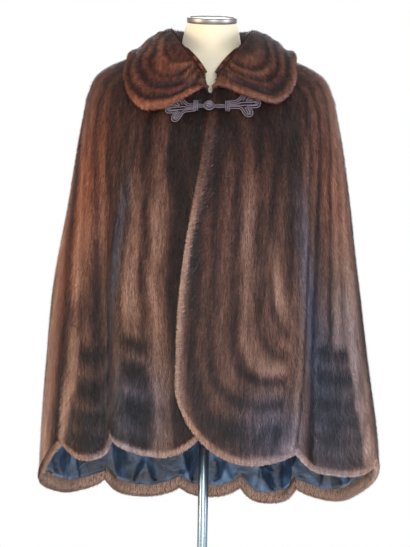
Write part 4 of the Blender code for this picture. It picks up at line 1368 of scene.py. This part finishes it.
def build_lining():
    high = np.linspace(0, 0.6, 14)[:-1]
    falls = np.concatenate((high, np.linspace(0.6, LINING_FALL, 52)))
    outer, inner = [], []
    for gore in GORES:
        shares = np.linspace(0.0, 1.0, 70)
        if gore is GORES[0]:
            shares[0] = LINING_END
        if gore is GORES[-1]:
            shares[-1] = 1.0 - LINING_END
        else:
            shares = shares[:-1]
        fall, share = np.meshgrid(falls, shares, indexing="ij")
        turn, hem_z = gore_place(gore, share, fall)
        eased = LINING_EASE_HIGH + (LINING_EASE - LINING_EASE_HIGH) * ease(0.2, 0.4, fall)
        inside = FUR_WALL + eased + crease_depth(turn, fall)
        pucker = 0.5 + 0.5 * noise_at(turn, fall, 5, 2.6, 0.05)
        inside = inside + PUCKER * pucker * ease(0.86, 0.96, fall)
        outer.append(cape_point(turn, fall, hem_z, inside))
        inner.append(cape_point(turn, fall, hem_z, inside + LINING_WALL))
    outer, inner = np.concatenate(outer, 1), np.concatenate(inner, 1)
    piece, _ = wall_piece("satin_lining", outer, inner, satin)
    settle(piece, "lining")


# Cord closure

CLOSURE_X = 0.001
CLOSURE_Z = 1.304
CORD_RADIUS = 0.00120
BRAID_STEP = 0.0042  # one plait of the braid along a cord
CORD_PLACES = (0.0018, -0.0023)  # how far outside the lobes' line each cord lies
HALF_STRETCH = {"left": 1.0, "right": 0.90}
HALF_DROOP = {"left": math.radians(4.0), "right": math.radians(-7.0)}
SIDES = {"left": 1, "right": -1}
# (x, z) along the line round a half's three lobes, and along the cords inside them
LOBES = (
    *((0.0330, 0.0065), (0.0390, 0.0065), (0.0530, 0.0085), (0.0640, 0.0180)),
    *((0.0740, 0.0245), (0.0825, 0.0225), (0.0820, 0.0145), (0.0740, 0.0085)),
    *((0.0800, 0.0060), (0.0900, 0.0085), (0.0975, 0.0040), (0.0940, -0.0035)),
    *((0.0820, -0.0050), (0.0740, -0.0060), (0.0800, -0.0125), (0.0795, -0.0210)),
    *((0.0710, -0.0235), (0.0650, -0.0170), (0.0600, -0.0085), (0.0510, -0.0060)),
    *((0.0390, -0.0060), (0.0330, -0.0060)),
)
INNER_CORDS = (
    (
        *((0.0330, 0.0010), (0.0500, 0.0014), (0.0620, 0.0040), (0.0700, 0.0040)),
        *((0.0860, 0.0045), (0.0925, 0.0015), (0.0860, -0.0010), (0.0700, -0.0015)),
        *((0.0620, -0.0020), (0.0500, -0.0012), (0.0330, -0.0010)),
    ),
    (
        *((0.0640, 0.0085), (0.0690, 0.0145), (0.0745, 0.0195)),
        *((0.0785, 0.0185), (0.0765, 0.0150), (0.0700, 0.0085)),
    ),
    (
        *((0.0670, -0.0060), (0.0705, -0.0130), (0.0735, -0.0190)),
        *((0.0765, -0.0175), (0.0750, -0.0130), (0.0715, -0.0060)),
    ),
)


def on_front(x, z, out):
    """Points a distance out from the fur of the front, over the points at x and z."""
    x, z, out = np.broadcast_arrays(x, z, out)
    low, high = np.zeros_like(x), np.ones_like(x)
    for _ in range(30):
        fall = (low + high) / 2
        turn = np.degrees(np.arcsin(x / plain_point(90.0, fall)[..., 0]))
        above = plain_point(turn, fall)[..., 2] > z
        low, high = np.where(above, fall, low), np.where(above, high, fall)
    return raised(turn, fall, lap_lift(turn, fall) + out)


def run_along(line):
    """The length along a line of points, at each of them."""
    return np.concatenate(([0], np.cumsum(np.linalg.norm(np.diff(line, axis=0), axis=1))))


def smooth_line(points, count):
    """Evenly spaced points on a smooth line through the given ones."""
    points = np.asarray(points, float)
    places = run_along(points)
    fine = np.linspace(0, places[-1], count)
    return np.stack([through(places, column, fine) for column in points.T], -1)


def tube(line, sides=8):
    """(points, faces, braid phase) of a cord along a line."""
    along = unit(np.gradient(line, axis=0))
    side = unit(np.cross(along, (0.0, -1.0, 0.3)))
    other = np.cross(side, along)
    angle = np.linspace(0, 2 * math.pi, sides, endpoint=False)
    cos, sin = np.cos(angle)[None, :, None], np.sin(angle)[None, :, None]
    thick = np.full(len(line), CORD_RADIUS)
    thick[[0, -1]] *= 0.6
    points = line[:, None] + (side[:, None] * cos + other[:, None] * sin) * thick[:, None, None]
    faces = grid_faces(numbered(len(line), sides), closed=True, flip=True)
    phase = run_along(line)[:, None] * 2 * math.pi / BRAID_STEP + angle[None] * 2
    return points.reshape(-1, 3), faces + tube_ends(len(line), sides), phase.ravel()


def tubes_piece(name, node, lines):
    points, faces, phases, start = [], [], [], 0
    for line in lines:
        tube_points, tube_faces, phase = tube(line)
        points.append(tube_points)
        faces += [[corner + start for corner in face] for face in tube_faces]
        phases.append(phase)
        start += len(tube_points)
    piece = mesh_piece(name, np.concatenate(points), faces, braid_cord)
    put_values(piece.data, "braid", np.concatenate(phases))
    settle(piece, node)


def build_closure_half(side_name):
    side, stretch = SIDES[side_name], HALF_STRETCH[side_name]
    sin, cos = math.sin(HALF_DROOP[side_name]), math.cos(HALF_DROOP[side_name])
    line = smooth_line(LOBES, 150)
    along = unit(np.gradient(line, axis=0))
    across = np.stack((-along[:, 1], along[:, 0]), -1)
    cords = [line + across * place for place in CORD_PLACES]
    cords += [smooth_line(cord, 70) for cord in INNER_CORDS]
    lines = []
    for number, place in enumerate(cords):
        x = place[:, 0] * cos - place[:, 1] * sin * side
        z = place[:, 1] * cos + place[:, 0] * sin
        x = CLOSURE_X + x * side * stretch
        lines.append(on_front(x, CLOSURE_Z + z, 0.0030 + 0.0003 * number))
    tubes_piece(f"braid_{side_name}", f"closure_{side_name}", lines)


def build_wraps(side_name):
    """Turns of the same cord round all of a half's cords."""
    angle = np.linspace(0, 2 * math.pi, 29)
    lines = []
    for number in (-1, 0, 1):
        x = CLOSURE_X + SIDES[side_name] * (0.0335 * HALF_STRETCH[side_name] + number * 0.0034)
        z, out = CLOSURE_Z + 0.0108 * np.cos(angle), 0.0042 + 0.0026 * np.sin(angle)
        lines.append(on_front(x, z, out))
    tubes_piece(f"braid_wrap_{side_name}", f"closure_wrap_{side_name}", lines)


def node_centre(name):
    low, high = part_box(name)
    return np.array((low + high) / 2)


def build_knot():
    """A ball knot: cord wound over itself in nine directions."""
    spin, lean = np.linspace(0, 2 * math.pi, 49)[:, None], math.radians(55)
    lines = []
    for number in range(9):
        tilt = math.radians(40 * number + 10)
        first = np.array((math.cos(tilt), math.sin(tilt), 0.0))
        flat = (-math.sin(tilt) * math.cos(lean), math.cos(tilt) * math.cos(lean))
        second = np.array((*flat, math.sin(lean)))
        turn = np.cos(spin) * first + np.sin(spin) * second
        lines.append(node_centre("closure_knot") + 0.0060 * turn)
    tubes_piece("braid_knot", "closure_knot", lines)


def build_loop():
    """The cord loop that goes round the knot, from the left half's wrap and back."""
    middle_x = node_centre("closure_loop")[0]
    spin = np.linspace(0, 2 * math.pi, 61)
    lines = []
    for radius, out in ((0.0090, 0.0050), (0.0106, 0.0058)):
        x, z = middle_x + radius * np.cos(spin), CLOSURE_Z + radius * np.sin(spin)
        lines.append(on_front(x, z, out))
    bow = np.sin(np.linspace(0, math.pi, 24))
    for side in (1, -1):
        for number in (-1, 0, 1):
            x = np.linspace(middle_x + side * 0.0095, CLOSURE_X + side * 0.0300, 24)
            z = CLOSURE_Z + number * 0.0022 + 0.0012 * bow * number
            lines.append(on_front(x, z, 0.0032))
    tubes_piece("braid_loop", "closure_loop", lines)


# Dress form and stand


def build_torso():
    """The torso's own solid made smooth, with a firm edge where it bends by over 40 degrees."""
    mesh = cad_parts["form_torso"].data.copy()
    piece = bpy.data.objects.new("jersey_torso", mesh)
    bpy.context.scene.collection.objects.link(piece)
    mesh.materials.clear()
    mesh.materials.append(jersey)
    weld = piece.modifiers.new("Weld", "WELD")
    weld.merge_threshold = 0.00005
    flat = piece.modifiers.new("Flat", "DECIMATE")
    flat.decimate_type = "DISSOLVE"
    flat.angle_limit = math.radians(0.5)
    piece.data = shown_mesh(piece)
    work = bmesh.new()
    work.from_mesh(piece.data)
    crease = work.edges.layers.float.new("crease_edge")
    for edge in work.edges:
        if edge.calc_face_angle(0.0) > math.radians(40):
            edge[crease] = 1.0
    work.to_mesh(piece.data)
    work.free()
    soft = piece.modifiers.new("Soft", "SUBSURF")
    soft.levels = soft.render_levels = 2
    piece.data = shown_mesh(piece)
    piece.data.shade_smooth()
    settle(piece, "form_torso")


def turned_piece(name, node, profile, material, slot, steps=72, tilt=0.0, place=(0.0, 0.0, 0.0)):
    """A piece turned round an upright axis from (radius, height) points, top to bottom."""
    radius, height = np.array(profile, float).T[..., None]
    angle = np.linspace(0, 2 * math.pi, steps, endpoint=False)
    x, y, z = radius * np.cos(angle), radius * np.sin(angle), height + 0 * angle
    sin, cos = math.sin(tilt), math.cos(tilt)
    points = np.stack((x, y * cos - z * sin, y * sin + z * cos), -1) + np.array(place)
    rows = len(radius)
    faces = grid_faces(numbered(rows, steps), closed=True) + tube_ends(rows, steps)
    piece = mesh_piece(name, points, faces, material)
    piece.data.set_sharp_from_angle(angle=math.radians(35))
    settle(piece, node)


NECK_CAP = (
    *((0.0005, 0.0095), (0.0455, 0.0095), (0.0462, 0.0112), (0.0475, 0.0115)),
    *((0.0500, 0.0115), (0.0512, 0.0108), (0.0518, 0.0095), (0.0518, 0.0018)),
    *((0.0512, 0.0004), (0.0500, 0.0), (0.0005, 0.0)),
)
NECK_CAP_PLACE = (0.0, -0.014, 1.4883)
NECK_CAP_TILT = math.radians(11.5)
SOCKET = (
    *((0.0003, 0.0), (0.0292, 0.0), (0.0300, -0.0008), (0.0300, -0.0066)),
    *((0.0294, -0.0078), (0.0168, -0.0118), (0.0160, -0.0120), (0.0003, -0.0120)),
)
BASE = (
    *((0.0003, 0.0720), (0.0150, 0.0720), (0.0162, 0.0715), (0.0232, 0.0628)),
    *((0.0240, 0.0612), (0.0240, 0.0280), (0.0252, 0.0248), (0.0290, 0.0228)),
    *((0.0370, 0.0219), (0.1080, 0.0190), (0.1700, 0.0142), (0.1770, 0.0128)),
    *((0.1796, 0.0108), (0.1800, 0.0090), (0.1800, 0.0012), (0.1790, 0.0), (0.0003, 0.0)),
)


def build_stand():
    cap = {"tilt": NECK_CAP_TILT, "place": NECK_CAP_PLACE}
    turned_piece("nickel_neck_cap", "form_neck_cap", NECK_CAP, cap_metal, "cap", **cap)
    low, top = (float(corner.z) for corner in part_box("stand_pole"))
    pole = ((0.0003, top), (0.0103, top), (0.0105, top - 0.0003), (0.0105, low), (0.0003, low))
    turned_piece("chrome_pole", "stand_pole", pole, chrome, "chrome")
    socket_top = float(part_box("stand_socket")[1].z)
    socket = tuple((radius, socket_top + z) for radius, z in SOCKET)
    turned_piece("chrome_socket", "stand_socket", socket, chrome, "chrome")
    turned_piece("steel_base", "stand_base", BASE, base_metal, "base", steps=128)


# Room

ROOM_LIGHT = 0.80
AIM_Z = 0.95  # the lamps point at this height over the origin
Lamp = namedtuple("Lamp", "name place power size colour")
LAMPS = (
    Lamp("window", (0.5, -3.6, 1.9), 112.0, 1.8, "#f4f7ff"),
    Lamp("warm side", (-2.7, -1.3, 1.7), 90.0, 1.3, "#ffe6c8"),
    Lamp("cool side", (2.7, -1.1, 1.7), 70.0, 1.3, "#e6ecff"),
    Lamp("back", (0.0, 3.2, 2.0), 100.0, 1.8, "#f6f6ff"),
)


def build_world():
    """A white room, seen as white, that lights the fur more softly than it looks."""
    world = bpy.context.scene.world or bpy.data.worlds.new("White room")
    bpy.context.scene.world = world
    world.use_nodes = True
    tree = world.node_tree
    lit = tree.nodes["Background"]
    lit.inputs["Color"].default_value = srgb("#eef1fb")
    lit.inputs["Strength"].default_value = ROOM_LIGHT
    white = add(tree, "ShaderNodeBackground", Color=srgb("#ffffff"), Strength=1.0).outputs[0]
    seen = add(tree, "ShaderNodeLightPath").outputs["Is Camera Ray"]
    shown = add(tree, "ShaderNodeMixShader", i0=seen, i1=lit.outputs[0], i2=white).outputs[0]
    tree.links.new(shown, tree.nodes["World Output"].inputs["Surface"])


def build_room():
    bpy.ops.mesh.primitive_cylinder_add(
        vertices=128, radius=1.55, depth=0.02, location=(0, 0, -0.0102)
    )
    floor = bpy.context.active_object
    floor.name = "floor"
    # The shop's floor: pale and matt
    pale, _, _ = new_material("pale floor", Base_Color=srgb("#e9e8e6"), Roughness=0.9)
    floor.data.materials.append(pale)
    build_world()
    for lamp in LAMPS:
        data = bpy.data.lights.new(lamp.name, "AREA")
        data.energy, data.size, data.color = lamp.power, lamp.size, srgb(lamp.colour)[:3]
        obj = bpy.data.objects.new(lamp.name, data)
        obj.location = lamp.place
        x, y, z = lamp.place
        down = math.atan2(math.hypot(x, y), z - AIM_Z)
        obj.rotation_euler = (down, 0.0, math.atan2(y, x) + math.pi / 2)
        bpy.context.scene.collection.objects.link(obj)


CAMERA_LENS = 127.15
CAMERA_PLACE = (0.0, -4.0, 0.971)
CAMERA_ROLL = math.radians(-1.07)
PHOTO_WIDTH, PHOTO_HEIGHT = 410, 547
POLE_PIXEL = 207.2  # the pole stands at this pixel of the photo's width


def build_camera():
    camera = bpy.data.cameras.new("camera")
    camera.sensor_fit = "VERTICAL"
    camera.sensor_width = camera.sensor_height = 36.0
    camera.lens = CAMERA_LENS
    camera.shift_x = -(POLE_PIXEL - PHOTO_WIDTH / 2) / PHOTO_HEIGHT
    obj = bpy.data.objects.new("camera", camera)
    obj.location = CAMERA_PLACE
    obj.rotation_euler = (math.pi / 2, CAMERA_ROLL, 0.0)
    bpy.context.scene.collection.objects.link(obj)
    bpy.context.scene.camera = obj


build_camera()
for gore in (*FRONTS, *GORES):
    build_pelt(gore)
build_collar()
build_lining()
for side_name in SIDES:
    build_closure_half(side_name)
    build_wraps(side_name)
build_knot()
build_loop()
build_torso()
build_stand()
build_room()
bpy.data.objects.remove(BLADE)
bpy.context.scene.view_settings.view_transform = "Standard"
